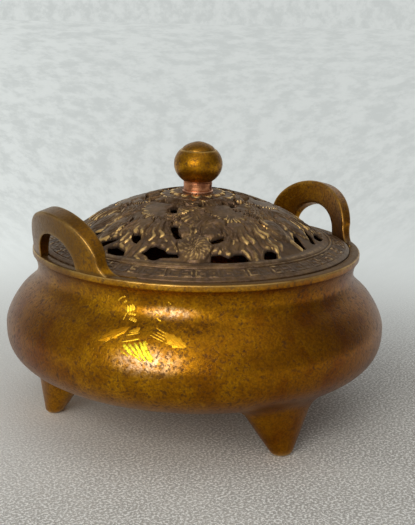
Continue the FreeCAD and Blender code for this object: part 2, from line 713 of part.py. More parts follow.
for item in doc.Objects:
    if "Invalid" in item.State or "Error" in item.State:
        raise RuntimeError(f"{item.Label} did not build: {item.State}")
for node in nodes:
    node.Label = node.Name
    if node.Shape.isNull() or not node.Shape.isValid() or not node.Shape.Solids:
        raise RuntimeError(f"{node.Label} has no valid solid")

os.makedirs("parts", exist_ok=True)
for node in nodes:
    node.Shape.exportStep(f"parts/{node.Label}.step")
    box = node.Shape.BoundBox
    print(f"{node.Label}: {len(node.Shape.Solids)} solid, {node.Shape.Volume:.1f} mm3, "
          f"x {box.XMin:.2f} to {box.XMax:.2f}, y {box.YMin:.2f} to {box.YMax:.2f}, "
          f"z {box.ZMin:.2f} to {box.ZMax:.2f}")
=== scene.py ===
"""Looks of a bronze tripod incense burner with a pierced lid, built round its CAD frame.

Lengths are millimetres unless a name says otherwise. Meshes are written in metres, in the frame
of the CAD: the floor is z = 0, the bowl's axis is x = y = 0 and the handles stand at +X and -X.
"""

import math

import bpy
import numpy as np
from bpy.props import FloatProperty, FloatVectorProperty, IntProperty, PointerProperty
from mathutils import Matrix, Vector


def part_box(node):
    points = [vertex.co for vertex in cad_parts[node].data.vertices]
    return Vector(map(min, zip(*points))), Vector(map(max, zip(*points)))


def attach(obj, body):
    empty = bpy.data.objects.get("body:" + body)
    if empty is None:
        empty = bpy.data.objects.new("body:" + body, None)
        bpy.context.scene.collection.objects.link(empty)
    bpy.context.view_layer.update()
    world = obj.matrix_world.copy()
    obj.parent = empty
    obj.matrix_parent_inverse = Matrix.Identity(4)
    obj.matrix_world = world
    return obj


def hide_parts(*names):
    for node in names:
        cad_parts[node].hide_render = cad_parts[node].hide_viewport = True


bl_info = {
    "name": "Bronze incense burner",
    "version": (1, 0, 0),
    "blender": (4, 5, 0),
    "location": "View3D > Sidebar > Burner",
    "description": "Dresses the CAD frame of a tripod incense burner with a pierced lid",
    "category": "Object",
}

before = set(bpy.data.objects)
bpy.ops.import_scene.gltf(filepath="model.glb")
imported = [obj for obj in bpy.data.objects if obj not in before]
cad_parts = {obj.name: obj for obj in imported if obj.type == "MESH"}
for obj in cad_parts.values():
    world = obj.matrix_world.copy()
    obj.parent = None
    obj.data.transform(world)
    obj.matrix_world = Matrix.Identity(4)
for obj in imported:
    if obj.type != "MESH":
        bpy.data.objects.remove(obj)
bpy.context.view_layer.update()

MM = 0.001
TURN = 2 * math.pi


def frame_box(node):
    """A CAD node's lowest and highest corner in millimetres."""
    low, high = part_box(node)
    return np.array(low) / MM, np.array(high) / MM


# Radii and levels, taken from the boxes of the CAD nodes and the drawing's own offsets.
BOWL_LOW, BOWL_HIGH = frame_box("bowl")
LID_LOW, LID_HIGH = frame_box("lid")
KNOB_LOW, KNOB_HIGH = frame_box("finial_knob")
COLLAR_LOW, COLLAR_HIGH = frame_box("finial_collar")
BELLY = BOWL_HIGH[0]
UNDERSIDE = BOWL_LOW[2]
RIM = BOWL_HIGH[2]
BELLY_DROP = 21.7
WALL = 3.5
WIDEST = UNDERSIDE + BELLY_DROP
SHOULDER_REACH = 22.4
LOWER_POWER = 2.84
UPPER_POWER = 1.535
LIP_TOP = RIM - 0.45
LIP_LOW = LIP_TOP - 1.8
NECK = LIP_LOW - 5.25
NECK_RADIUS = BELLY - 10.85
LIP_RADIUS = NECK_RADIUS + 1.8
RECESS_RADIUS = LIP_RADIUS - 3.45
SEAT = RIM - 1.6
MOUTH = RECESS_RADIUS - 3.5
FOOT_CENTRE = 49.2
HANDLE_IN, HANDLE_OUT, HANDLE_OUT_TOP = 52.7, 55.7, 58.1
ARCH_HALF, ARCH_RISE = 20.8, 16.9
LOOP_HALF = 11.0
LID_RADIUS = LID_HIGH[0]
LID_WALL = 2.2
FLANGE_TOP = SEAT + 2.1
SKIRT_IN, SKIRT_OUT = LID_RADIUS - 5.5, LID_RADIUS - 3.5
DOME_FOOT = LID_RADIUS - 9.9
DOME_REACH = DOME_FOOT + 3.15
DOME_BASE = FLANGE_TOP - 0.35
DOME_RISE = 18.1
CARVED_EDGE = DOME_FOOT + 1.1
FRINGE = 13.0
BOSS_UNDER = 75.3


# Lines and profiles


def join(*parts):
    """Polylines put end to end, with repeated points dropped."""
    line = np.concatenate([np.atleast_2d(part) for part in parts])
    gaps = np.linalg.norm(np.diff(line, axis=0), axis=1)
    return line[np.concatenate([[True], gaps > 1e-5])]


def even(line, count):
    """Points at equal steps of length along a polyline."""
    run = np.concatenate([[0], np.cumsum(np.linalg.norm(np.diff(line, axis=0), axis=1))])
    marks = np.linspace(0, run[-1], count)
    return np.stack([np.interp(marks, run, line[:, k]) for k in range(line.shape[1])], axis=1)


def bezier(*points, count=8):
    """Bezier curve of any degree: each point counts by its binomial share of t and 1 - t."""
    share = np.linspace(0, 1, count).reshape((-1,) + (1,) * np.ndim(points[0]))
    last = len(points) - 1
    return sum(math.comb(last, k) * share ** k * (1 - share) ** (last - k) * np.asarray(point)
               for k, point in enumerate(points))


def rounded(before, tip, after, size, count=6):
    """A corner rounded by a curve that leaves each side at a distance from the tip."""
    before, tip, after = (np.asarray(point, float) for point in (before, tip, after))
    start = tip + (before - tip) / np.linalg.norm(before - tip) * size
    end = tip + (after - tip) / np.linalg.norm(after - tip) * size
    return bezier(start, tip, end, count=count)


def softened(points, size, count=6):
    """A polyline with each of its inner corners rounded."""
    points = [np.asarray(point, float) for point in points]
    inner = [rounded(points[k - 1], points[k], points[k + 1], size, count)
             for k in range(1, len(points) - 1)]
    return join(points[0], *inner, points[-1])


def hermite(start, end, leaving, arriving, count=20):
    """A cubic with its end directions: a Bezier curve whose handles are a third of each."""
    start, end = np.asarray(start, float), np.asarray(end, float)
    leaving, arriving = np.asarray(leaving), np.asarray(arriving)
    return bezier(start, start + leaving / 3, end - arriving / 3, end, count=count)


def lower_belly(radius, drop, count):
    """Underside: r = radius sin(t)^(2/n), z = widest - drop cos(t)^(2/n), t to a quarter turn."""
    turn = np.linspace(0, math.pi / 2, 4000)
    line = np.stack([radius * np.sin(turn) ** (2 / LOWER_POWER),
                     WIDEST - drop * np.cos(turn).clip(0) ** (2 / LOWER_POWER)], axis=1)
    line[-1] = radius, WIDEST
    return even(line, count)


def upper_belly(radius, rise, share, count):
    """Shoulder: r falls from the belly's radius by reach (1 - (1 - s^n)^(1/n)) as z climbs rise s."""
    step = np.linspace(0, share, 2000)
    fall = SHOULDER_REACH * (1 - (1 - step ** UPPER_POWER) ** (1 / UPPER_POWER))
    return even(np.stack([radius - fall, WIDEST + rise * step], axis=1), count)


def belly_level(radius):
    """Level of the bowl's underside at a radius."""
    share = np.clip(radius / BELLY, 0, 1)
    return WIDEST - BELLY_DROP * (1 - share ** LOWER_POWER) ** (1 / LOWER_POWER)


def dome_curve(radius, wall=0.0):
    """Level of a dome that lies a wall under the lid's: base + rise (1 - (r/R)^1.76)^(1/1.3)."""
    share = np.clip(radius / (DOME_REACH - wall), 0, 1)
    return DOME_BASE + (DOME_RISE - wall) * (1 - share ** 1.76) ** (1 / 1.3)


def dome_level(radius):
    """Level of the lid's dome, which runs out as a slight slope beyond its foot."""
    return dome_curve(np.minimum(radius, DOME_FOOT)) - 0.12 * (radius - DOME_FOOT).clip(0)


def dome_under(radius):
    """Level of the dome's inside, which runs out straight into the hollow ring near its foot."""
    foot = DOME_FOOT - LID_WALL
    edge = dome_curve(foot, LID_WALL)
    straight = edge + (radius - foot) / (SKIRT_IN - foot) * (DOME_BASE - 0.1 - edge)
    return np.where(radius < foot, dome_curve(radius, LID_WALL), straight)


# Meshes


class Shell:
    """Grids of points gathered into one closed mesh, with a wear and a depth value at each point.

    The columns of a grid run round with the azimuth and its rows up the outside. Points that fall
    together are merged, so grids join along equal edges and a row of equal points is a pole.
    """

    def __init__(self):
        self.points, self.marks, self.faces = [], [], []
        self.count = 0

    def index(self, points, wear=0.0, depth=0.0):
        """Adds a grid's points. Gives the numbers of its points, in the grid's own order."""
        shape = points.shape[:-1]
        size = int(np.prod(shape))
        self.points.append(points.reshape(-1, 3))
        marks = np.stack([np.broadcast_to(wear, shape), np.broadcast_to(depth, shape)], axis=-1)
        self.marks.append(marks.reshape(-1, 2))
        self.count += size
        return self.count - size + np.arange(size).reshape(shape)

    def weave(self, index, ring=False, keep=None):
        """Adds the four-sided faces between the points of a grid."""
        if ring:
            index = np.concatenate([index, index[:, :1]], axis=1)
        quads = np.stack([index[:-1, :-1], index[:-1, 1:], index[1:, 1:], index[1:, :-1]], -1)
        self.faces.append(quads[keep] if keep is not None else quads.reshape(-1, 4))

    def grid(self, points, wear=0.0, depth=0.0):
        """Adds a grid whose last column joins its first."""
        self.weave(self.index(points, wear, depth), ring=True)

    def build(self, name, sharp=38):
        """Merges equal points, turns the faces outwards and writes the mesh in metres."""
        points = np.concatenate(self.points)
        # Points count as equal where they agree to a five-thousandth of a millimetre.
        keys = np.round(points * 5000).astype(np.int64) + 2 ** 20
        keys = (keys[:, 0] << 42) + (keys[:, 1] << 21) + keys[:, 2]
        _, first, back = np.unique(keys, return_index=True, return_inverse=True)
        points, marks = points[first], np.concatenate(self.marks)[first]
        corners = back.reshape(-1)[np.concatenate(self.faces)]
        same = corners == np.roll(corners, -1, axis=1)
        fours = corners[~same.any(axis=1)]
        pinched = same.sum(axis=1) == 1
        threes = corners[pinched][~same[pinched]].reshape(-1, 3)
        halves = np.concatenate([fours[:, [0, 1, 2]], fours[:, [0, 2, 3]], threes])
        one, two, three = points[halves].transpose(1, 0, 2)
        if np.sum(one * np.cross(two, three)) < 0:
            fours, threes = fours[:, ::-1], threes[:, ::-1]
        mesh = bpy.data.meshes.new(name)
        mesh.vertices.add(len(points))
        mesh.vertices.foreach_set("co", (points * MM).astype(np.float32).ravel())
        loops = np.concatenate([fours.ravel(), threes.ravel()]).astype(np.int32)
        starts = np.concatenate([np.arange(len(fours)) * 4,
                                 len(fours) * 4 + np.arange(len(threes)) * 3])
        mesh.loops.add(len(loops))
        mesh.loops.foreach_set("vertex_index", loops)
        mesh.polygons.add(len(starts))
        mesh.polygons.foreach_set("loop_start", starts.astype(np.int32))
        mesh.update(calc_edges=True)
        for name_of_mark, mark in zip(("wear", "depth"), marks.T.astype(np.float32)):
            mesh.attributes.new(name_of_mark, "FLOAT", "POINT").data.foreach_set("value", mark)
        mesh.shade_smooth()
        mesh.set_sharp_from_angle(angle=math.radians(sharp))
        made = bpy.data.objects.new(name, mesh)
        bpy.context.scene.collection.objects.link(made)
        return made


def polar(radius, azimuth, level):
    """Points at a radius and an azimuth round the axis, at a level."""
    flat = radius * np.cos(azimuth), radius * np.sin(azimuth)
    return np.stack(np.broadcast_arrays(*flat, level), axis=-1)


def revolve(profile, azimuths):
    """A profile of radii and levels turned about the axis, a row for each of its points."""
    return polar(profile[:, :1], azimuths, profile[:, 1:])


def turned_about_axis(points, angle):
    """Points turned about the bowl's axis: x cos a - y sin a, x sin a + y cos a."""
    cosine, sine = math.cos(angle), math.sin(angle)
    return points @ np.array([[cosine, sine, 0], [-sine, cosine, 0], [0, 0, 1]])


def round_trip(count):
    """Azimuths of a closed turn in equal steps."""
    return np.arange(count) * TURN / count


def capped(rows):
    """Rows with a pole put before the first and after the last, each at its row's middle."""
    first, last = (np.broadcast_to(rows[k].mean(axis=0), (1,) + rows.shape[1:]) for k in (0, -1))
    return np.concatenate([first, rows, last])


def settle(piece, material, body, slot, *nodes):
    """Gives a piece its material and the body it rides on, and hides the CAD nodes it stands for. Its
    slot is not used.
    """
    piece.data.materials.append(material)
    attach(piece, body)
    if nodes:
        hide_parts(*nodes)


def make_piece(name, rows, material, body, slot, node, wear=0.0, depth=0.0, sharp=38):
    """A piece that is one closed grid, and the CAD node it stands for."""
    shell = Shell()
    shell.grid(rows, wear, depth)
    settle(shell.build(name, sharp), material, body, slot, node)


# Bowl


def shoulder_lines():
    """Upper belly, and the hollow of the neck up to the lip, as one run of points."""
    shoulder = upper_belly(BELLY, BELLY_DROP, 0.45, 26)
    start, neck = shoulder[-1], np.array([NECK_RADIUS, NECK])
    bend = neck + (start - neck) * (0.36, 0.55)
    return join(shoulder, hermite(start, bend, (-3.4, 4.45), (-4.0, 3.9), 12),
                hermite(bend, neck, (-3.9, 3.8), (0, 5.0), 14),
                hermite(neck, (LIP_RADIUS, LIP_LOW), (0, 5.2), (3.5, 3.5), 16))


def bowl_profile(edge):
    """Outside from the pole of the floor up to the rim, over it and down the inside to the axis."""
    outside = lower_belly(BELLY, BELLY_DROP, 90)
    shoulder = shoulder_lines()
    lip_low, lip_top = np.array([LIP_RADIUS, LIP_LOW]), np.array([LIP_RADIUS, LIP_TOP])
    lower_edge = rounded(shoulder[-2], lip_low, lip_top, edge * 0.7, 5)
    crown_out = np.array([LIP_RADIUS - 0.6, LIP_TOP + 0.25])
    upper_edge = rounded(lip_low, lip_top, crown_out, edge, 6)
    crown = np.array([LIP_RADIUS - 1.725, RIM])
    recess_top = np.array([RECESS_RADIUS, RIM - 0.225])
    top = hermite(upper_edge[-1], crown, (1.0 - LIP_RADIUS + crown[0], 0.7), (-1.2, 0), 8)
    seat_out = np.array([RECESS_RADIUS, SEAT])
    fall = rounded(crown, recess_top, seat_out, 0.25, 5)
    seat_in = np.array([MOUTH, SEAT])
    throat = np.array([MOUTH, SEAT - 1.6])
    mouth = rounded(seat_out, seat_in, throat, 0.3, 5)
    inside_up = upper_belly(BELLY - WALL, BELLY_DROP - WALL, 0.802, 26)[::-1]
    neck_in = hermite(throat, inside_up[0], (0, -5), (0.0, -5), 10)
    inside_low = lower_belly(BELLY - WALL, BELLY_DROP - 4.0, 60)[::-1]
    return join(outside, shoulder[:-1], lower_edge, upper_edge, top, fall, seat_out, mouth,
                neck_in, inside_up, inside_low)


def make_bowl(sizes, material):
    """The bowl is its profile turned about the axis.

    Wear is high on the lip's upper edge, and depth is 1 on the dusty top of the rim.
    """
    profile = bowl_profile(sizes.rim_edge)
    radius, level = profile.T
    wear = np.exp(-(np.hypot(radius - LIP_RADIUS + 0.1, level - LIP_TOP) / 0.26) ** 2)
    dusty = np.clip((LIP_RADIUS - 0.25 - radius) / 0.35, 0, 1) * (level > SEAT - 1)
    make_piece("bronze_bowl", revolve(profile, round_trip(sizes.turn_steps)), material, "vessel",
               "bronze_body", "bowl", wear[:, None], dusty[:, None])


# Gilding on the belly


# Strokes of gold laid on the belly: azimuth and level of the start and of the end, half width, how
# bright the gold is, and 1 where the stroke swells as a leaf.
STROKES = np.array([
    (208.0, 52.8, 209.3, 54.1, 0.30, 0.80, 0), (209.3, 54.1, 210.9, 54.6, 0.30, 0.80, 0),
    (210.2, 52.6, 211.3, 53.4, 0.42, 0.80, 0), (210.8, 50.8, 214.3, 51.4, 1.05, 0.85, 0),
    (211.8, 49.8, 215.0, 49.6, 0.50, 0.80, 0), (212.9, 48.6, 215.7, 48.1, 0.70, 0.80, 0),
    (211.6, 49.9, 211.2, 47.9, 0.22, 0.75, 0), (214.4, 45.1, 217.6, 46.5, 0.90, 0.50, 1),
    (213.7, 44.4, 217.8, 45.4, 0.25, 0.75, 0), (212.9, 42.6, 218.2, 43.9, 0.30, 0.85, 0),
    (213.7, 42.2, 216.7, 39.5, 0.62, 1.00, 0), (215.1, 42.5, 219.0, 39.2, 0.50, 1.00, 0),
    (216.7, 42.9, 220.9, 38.2, 0.56, 1.00, 0), (218.1, 43.2, 222.5, 37.9, 0.62, 1.00, 0),
    (219.2, 43.4, 222.8, 38.5, 0.50, 1.00, 0), (219.8, 43.5, 220.7, 42.6, 0.30, 0.90, 0),
    (213.3, 40.4, 215.8, 38.9, 0.26, 0.90, 0), (216.4, 40.0, 219.8, 38.1, 0.30, 1.00, 0),
    (205.4, 41.6, 214.2, 46.7, 1.45, 0.28, 1), (207.8, 41.7, 214.0, 46.1, 0.20, 0.60, 0),
    (224.3, 45.9, 231.6, 42.4, 1.70, 0.40, 1), (222.0, 47.0, 225.5, 45.7, 0.25, 0.60, 0),
    (222.5, 46.0, 225.3, 45.0, 0.25, 0.60, 0), (221.5, 45.7, 225.7, 44.2, 0.26, 0.65, 0),
    (220.6, 45.2, 225.2, 43.7, 0.26, 0.65, 0), (225.3, 43.5, 230.7, 42.3, 0.24, 0.65, 0),
    (221.3, 50.4, 222.4, 49.8, 0.30, 0.80, 0), (221.6, 49.4, 223.3, 48.5, 0.35, 0.80, 0),
    (225.1, 54.2, 226.1, 53.3, 0.24, 0.80, 0), (204.7, 54.4, 204.0, 52.2, 0.22, 0.40, 0),
])


def belly_side(line, level):
    """Radius of the belly's side at a level, and its lean: how the radius grows with the level."""
    low, radius, high = (np.interp(level + step, line[:, 1], line[:, 0]) for step in (-0.3, 0, 0.3))
    return radius, (high - low) / 0.6


def make_gilding(material):
    """Leaves and feather strokes of gold leaf. Each is a low pillow that follows the belly.

    Along a stroke the half width is that of a blunt bar or of a leaf, sin(pi s), with a ragged edge.
    Across it the height is that of an ellipse. Its underside lies just below the bronze.
    """
    belly = shoulder_lines()
    share = np.linspace(0, 1, 26)[:, None]
    across = np.linspace(-1, 1, 11)
    there_and_back = [*range(11), *range(10, -1, -1)]
    shell = Shell()
    for number, (start, low, end, high, half, tone, leaf) in enumerate(STROKES):
        level = low + (high - low) * share
        radius, lean = belly_side(belly, level)
        slope = np.sqrt(1 + lean ** 2)
        run = np.array([math.radians(end - start) * radius.mean(), (high - low) * slope.mean()])
        run /= np.linalg.norm(run)
        blunt = (1 - np.abs(2 * share - 1) ** 3.5).clip(0) ** 0.5
        swell = np.sin(math.pi * share) ** 0.75 * (0.75 + 0.45 * share)
        width = half * (swell if leaf else blunt) * (1 + 0.16 * np.sin(23 * share + 5 * number) * blunt)
        lateral = width * across + 0.12 * half * np.sin(2.1 * math.pi * share + number)
        azimuth = np.radians(start + (end - start) * share) - lateral * run[1] / radius
        level = level + lateral * run[0] / slope
        rise = (0.04 + 0.13 * np.sqrt(1 - across ** 2)) * (width / half).clip(0, 1) - 0.03
        rise += 0.02 * np.sin(7 * lateral + 11 * share + number)
        lift = np.concatenate([rise, np.full(rise.shape, -0.12)], axis=1)
        azimuth, level = azimuth[:, there_and_back], level[:, there_and_back]
        radius, lean = belly_side(belly, level)
        lift = lift / np.sqrt(1 + lean ** 2)
        shell.grid(capped(polar(radius + lift, azimuth, level - lift * lean)), tone)
    settle(shell.build("gilt_strokes", 60), material, "vessel", "gilt")


# Feet


def foot_line(level):
    """Half width, half depth and centre of a foot at a level, straight lines between sections."""
    marks = np.array([0.0, 0.9, 7.5, 14.1, 24.2, 34.0])
    half = np.interp(level, marks, [3.4, 3.9, 8.0, 11.9, 19.0, 26.0])
    deep = np.interp(level, marks, [2.85, 3.2, 5.92, 8.63, 14.0, 19.2])
    return half, deep, FOOT_CENTRE - 0.26 * np.asarray(level)


def make_foot(node, turn, sizes, material):
    """A tapering oval peg. Each of its side lines runs up to the belly and flares into it.

    The junction is the level where the side line leaves the belly's underside. A cubic curve then
    leads from below the junction to a point on the belly beyond it, tangent to both.
    """
    angle = round_trip(sizes.foot_steps)

    def oval(half, deep, centre, level):
        return np.stack([centre + deep * np.cos(angle), half * np.sin(angle), level + 0 * angle], -1)

    def side(level):
        return oval(*foot_line(level), level)

    levels = np.linspace(1.5, 30, 600)[:, None]
    ladder = side(levels)
    above = ladder[..., 2] > belly_level(np.hypot(ladder[..., 0], ladder[..., 1]))
    junction = levels[np.argmax(above, axis=0), 0]
    meet = side(junction)
    start_level = junction - sizes.foot_flare
    start = side(start_level)
    climb = side(start_level + 0.01) - start
    climb /= np.linalg.norm(climb, axis=1)[:, None]
    half, deep, _ = foot_line(junction)
    out = np.stack([np.cos(angle) / deep, np.sin(angle) / half], axis=-1)
    out /= np.linalg.norm(out, axis=1)[:, None]

    def on_belly(flat, lift=0.0):
        radius = np.hypot(flat[..., 0], flat[..., 1])
        return np.concatenate([flat, (belly_level(radius) + lift)[..., None]], axis=-1)

    spread = sizes.foot_flare * 1.15
    end = on_belly(meet[:, :2] + out * spread, -0.015)
    arrive = end - on_belly(meet[:, :2] + out * (spread - 0.05), -0.015)
    arrive /= np.linalg.norm(arrive, axis=1)[:, None]
    reach = np.linalg.norm(meet - start, axis=1)[:, None]
    beyond = np.linalg.norm(end - meet, axis=1)[:, None]
    flare = bezier(start, start + climb * reach * 0.62, end - arrive * beyond * 0.62, end, count=14)

    toe_top = 1.5
    half, deep, centre = foot_line(0.0)
    sole = oval(half * 0.4, deep * 0.4, centre, 0.0)
    toe = bezier(sole, oval(half, deep, centre, 0.0), side(toe_top), count=8)
    leg = side(toe_top + (start_level - toe_top) * np.linspace(0, 1, 14)[:, None])
    pole = np.broadcast_to([FOOT_CENTRE, 0.0, 0.0], (1, len(angle), 3))
    sunk = on_belly(end[:, :2], 1.6)
    middle = np.array([46.0, 0.0])
    inside = [on_belly(middle + (sunk[:, :2] - middle) * part, 1.6) for part in (1.0, 0.75, 0.5, 0.25)]
    inside.append(np.broadcast_to(on_belly(middle[None], 1.6), (len(angle), 3)))
    rows = np.concatenate([pole, sole[None], toe, leg[1:], flare[1:], np.stack(inside)])
    wear = np.exp(-((rows[..., 2] - 0.4) / 0.9) ** 2) * (rows[..., 2] > 0.02)
    make_piece(f"bronze_{node}", turned_about_axis(rows, turn), material, "vessel", "bronze_body",
               node, wear)


# Handles


def three_point_arc(start, middle, end, count):
    """A circle's arc through three points: centre from the two perpendicular bisectors."""
    (ax, ay), (bx, by), (cx, cy) = start, middle, end
    lines = 2 * np.array([[bx - ax, by - ay], [cx - ax, cy - ay]])
    centre = np.linalg.solve(lines, [bx * bx - ax * ax + by * by - ay * ay,
                                     cx * cx - ax * ax + cy * cy - ay * ay])
    turns = np.unwrap([math.atan2(y - centre[1], x - centre[0]) for x, y in (start, middle, end)])
    turn = np.linspace(turns[0], turns[2], count)
    radius = math.hypot(ax - centre[0], ay - centre[1])
    return centre + radius * np.stack([np.cos(turn), np.sin(turn)], axis=1)


def half_oval(half, rise, start, end, count):
    """Arc of an ellipse over the rim, its turn counted from +Y."""
    turn = np.linspace(start, end, count)
    return np.stack([half * np.cos(turn), LIP_TOP + rise * np.sin(turn)], axis=1)


def leaning(ahead):
    """How far a point of a handle is raised: more, the nearer it stands to the axis in x."""
    return 0.25 * (HANDLE_OUT_TOP - ahead)


def handle_outlines(loop_rise):
    """Outer and inner outline of a handle from the side, point for point, from foot to foot."""
    foot_half, knee_rise = 29.5, 4.6
    foot_level = LIP_TOP - leaning(math.sqrt(HANDLE_OUT ** 2 - foot_half ** 2))
    start = math.asin(knee_rise / ARCH_RISE)
    knee = (ARCH_HALF * math.cos(start), LIP_TOP + knee_rise)
    foot = (foot_half, foot_level)
    bend = (foot_half + (knee[0] - foot_half) * 0.76, foot_level + (knee[1] - foot_level) * 0.22)
    flare = join((foot_half + 0.7, foot_level - 1.1), three_point_arc(foot, bend, knee, 60))
    leg = join((LOOP_HALF + 0.4, LIP_TOP - 1.6), (LOOP_HALF, LIP_TOP),
               half_oval(LOOP_HALF, loop_rise, 0, start, 20))
    arches = (half_oval(half, rise, start, math.pi - start, 110)[1:-1]
              for half, rise in ((ARCH_HALF, ARCH_RISE), (LOOP_HALF, loop_rise)))
    return [np.concatenate([side, arch, (side * (-1, 1))[::-1]])
            for side, arch in zip((even(flare, 34), even(leg, 34)), arches)]


def bar_section(edge, steps=5, fill=6):
    """A rectangle with rounded corners: each coordinate is a share of the side plus a length.

    Gives the section and the wear of its points, which is high on the corners.
    """
    quarter = np.linspace(0, math.pi / 2, steps)
    parts = []
    for k, (p, q) in enumerate(((1, 1), (0, 1), (0, 0), (1, 0))):
        turn = quarter + k * math.pi / 2
        sp, sq = 2 * p - 1, 2 * q - 1
        parts.append(np.stack([np.full(steps, p), edge * (np.cos(turn) - sp),
                               np.full(steps, q), edge * (np.sin(turn) - sq)], axis=1))
    rows = []
    for part, following in zip(parts, parts[1:] + parts[:1]):
        rows += [part, np.linspace(part[-1], following[0], fill + 2)[1:-1]]
    corner = 0.4 - np.abs(np.linspace(-1, 1, steps)) * 0.2
    return np.concatenate(rows), np.tile(np.concatenate([corner, np.zeros(fill)]), 4)


def make_handle(node, turn, edge, loop_rise, material):
    """A rounded bar section carried along the arch between its two outlines.

    The section lies between the inner and the outer outline, and between the lip's inner wall and an
    outer wall that leans out as it climbs. A point nearer to the axis in x stands higher.
    """
    outer, inner = handle_outlines(loop_rise)
    section, mark = bar_section(edge)
    width = np.linalg.norm(outer - inner, axis=1)[:, None]
    share = section[:, 0] + section[:, 1] / width
    flat = inner[:, None, :] + (outer - inner)[:, None, :] * share[..., None]
    across, height = flat[..., 0], flat[..., 1]
    level = height
    for _ in range(4):
        outside = HANDLE_OUT + (HANDLE_OUT_TOP - HANDLE_OUT) / ARCH_RISE * (level - LIP_TOP)
        radius = HANDLE_IN + (outside - HANDLE_IN) * section[:, 2] + section[:, 3]
        ahead = np.sqrt(radius ** 2 - across ** 2)
        level = height + leaning(ahead)
    rows = capped(np.stack([ahead, across, level], axis=-1))
    dusty = ((RIM + 0.9 - rows[..., 2]) / 0.7).clip(0, 1)
    make_piece(f"bronze_{node}", turned_about_axis(rows, turn), material, "vessel", "bronze_body",
               node, mark, dusty, 50)


# Lid


FRET_ROWS = ("11111", "10001", "10111", "10000", "11111")


def fret_cells():
    """Key pattern of one repeat: the hook, a gap, the hook turned half round, a gap."""
    hook = np.array([[int(mark) for mark in row] for row in FRET_ROWS])
    gap = np.zeros((5, 1), int)
    return np.concatenate([hook, gap, hook[::-1, ::-1], gap], axis=1)


def make_lid_ring(sizes, material):
    """The lid's turned rim with its flange, skirt, mouldings and the raised key pattern between them.

    The pattern is a grid of cells. Each cell has four points of one height, set in from its border, so
    that the strips between two cells are level or slope as the side of a stroke.
    """
    cells = np.tile(fret_cells(), (1, sizes.fret_repeats))
    count, inset = cells.shape[1], 0.14
    azimuths = (np.arange(count)[:, None] + (inset, 1 - inset)).reshape(-1) * TURN / count

    top_out = np.array([LID_RADIUS + 0.2, FLANGE_TOP - 0.3])
    flat_out = np.array([LID_RADIUS - 0.6, FLANGE_TOP + 0.06])
    field_out = np.array([LID_RADIUS - 1.55, FLANGE_TOP + 0.42])
    field_in = np.array([LID_RADIUS - 5.75, FLANGE_TOP + 1.82])
    bead = np.array([LID_RADIUS - 6.3, FLANGE_TOP + 1.93])
    turn = np.linspace(-0.35, 3.2, 9)
    crest = bead + 0.42 * np.stack([np.cos(turn), np.sin(turn)], axis=1)
    ring_low = np.array([LID_RADIUS - 6.95, FLANGE_TOP + 1.98])
    dome_edge = np.array([CARVED_EDGE, dome_level(CARVED_EDGE)])
    inner_low = np.array([CARVED_EDGE, min(dome_under(CARVED_EDGE), dome_edge[1] - 0.75)])
    skirt_top, low = (SKIRT_IN, DOME_BASE - 0.1), LID_LOW[2]

    below = softened([skirt_top, (SKIRT_IN, low), (SKIRT_OUT, low), (SKIRT_OUT, SEAT + 0.05),
                      (LID_RADIUS + 0.2, SEAT + 0.05), top_out + (0, -0.5)], 0.3, 5)
    border = softened([top_out + (0, -0.5), top_out, flat_out, field_out + (0.35, -0.02),
                       field_out + (0.12, -0.2), field_out], 0.16, 4)
    after = softened([field_in, field_in + (-0.1, -0.16), crest[0]], 0.06, 3)
    ring = join(ring_low, hermite(ring_low, dome_edge, (-0.3, 2.0), (-2.0, 0.15), 12))
    closing = join(dome_edge, inner_low, bezier(inner_low, skirt_top, count=6))

    bands = np.linspace(0, 1, 6)
    edges = np.stack([bands[:-1] + inset / 5, bands[1:] - inset / 5], axis=1).reshape(-1)
    field = field_out + (field_in - field_out) * edges[:, None]
    normal = np.array([field_out[1] - field_in[1], field_out[0] - field_in[0]])
    normal = np.array([-normal[0], normal[1]]) / np.linalg.norm(normal)
    heights = np.repeat(np.repeat(cells, 2, axis=0), 2, axis=1).astype(float)
    worn = 0.62 + 0.2 * np.sin(19 * azimuths + 2 * np.sin(7 * azimuths))
    worn = worn + 0.2 * np.sin(47 * azimuths + 1.5 * np.cos(13 * azimuths))
    heights *= (worn + 0.15 * np.sin(83 * azimuths + np.arange(10)[:, None])).clip(0.12, 1.1)
    relief = sizes.fret_height * heights - 0.06

    lead, tail = join(below, border), join(after, crest, ring, closing)
    pattern = polar(field[:, :1] + normal[0] * relief, azimuths, field[:, 1:] + normal[1] * relief)
    rows = np.concatenate([revolve(lead, azimuths), pattern, revolve(tail, azimuths)])
    edge = np.exp(-(np.linalg.norm(lead - top_out, axis=1) / 0.5) ** 2) * 0.25
    mouldings = np.exp(-((tail[:, 0] - bead[0]) / 0.4) ** 2) * 0.5
    mouldings += np.exp(-((tail[:, 0] - dome_edge[0] - 0.9) / 0.8) ** 2) * 0.4
    plain = np.zeros(len(azimuths))
    wear = np.concatenate([edge[:, None] + plain, heights * 0.46, mouldings[:, None] + plain])
    depth = np.zeros(wear.shape)
    depth[len(lead):len(lead) + len(heights)] = 0.42 * (1 - heights.clip(0, 1))
    rows, wear, depth = (np.concatenate([part, part[:1]]) for part in (rows, wear, depth))
    make_piece("lid_rim", rows, material, "cover", "bronze_lid", "lid", wear, depth, 30)


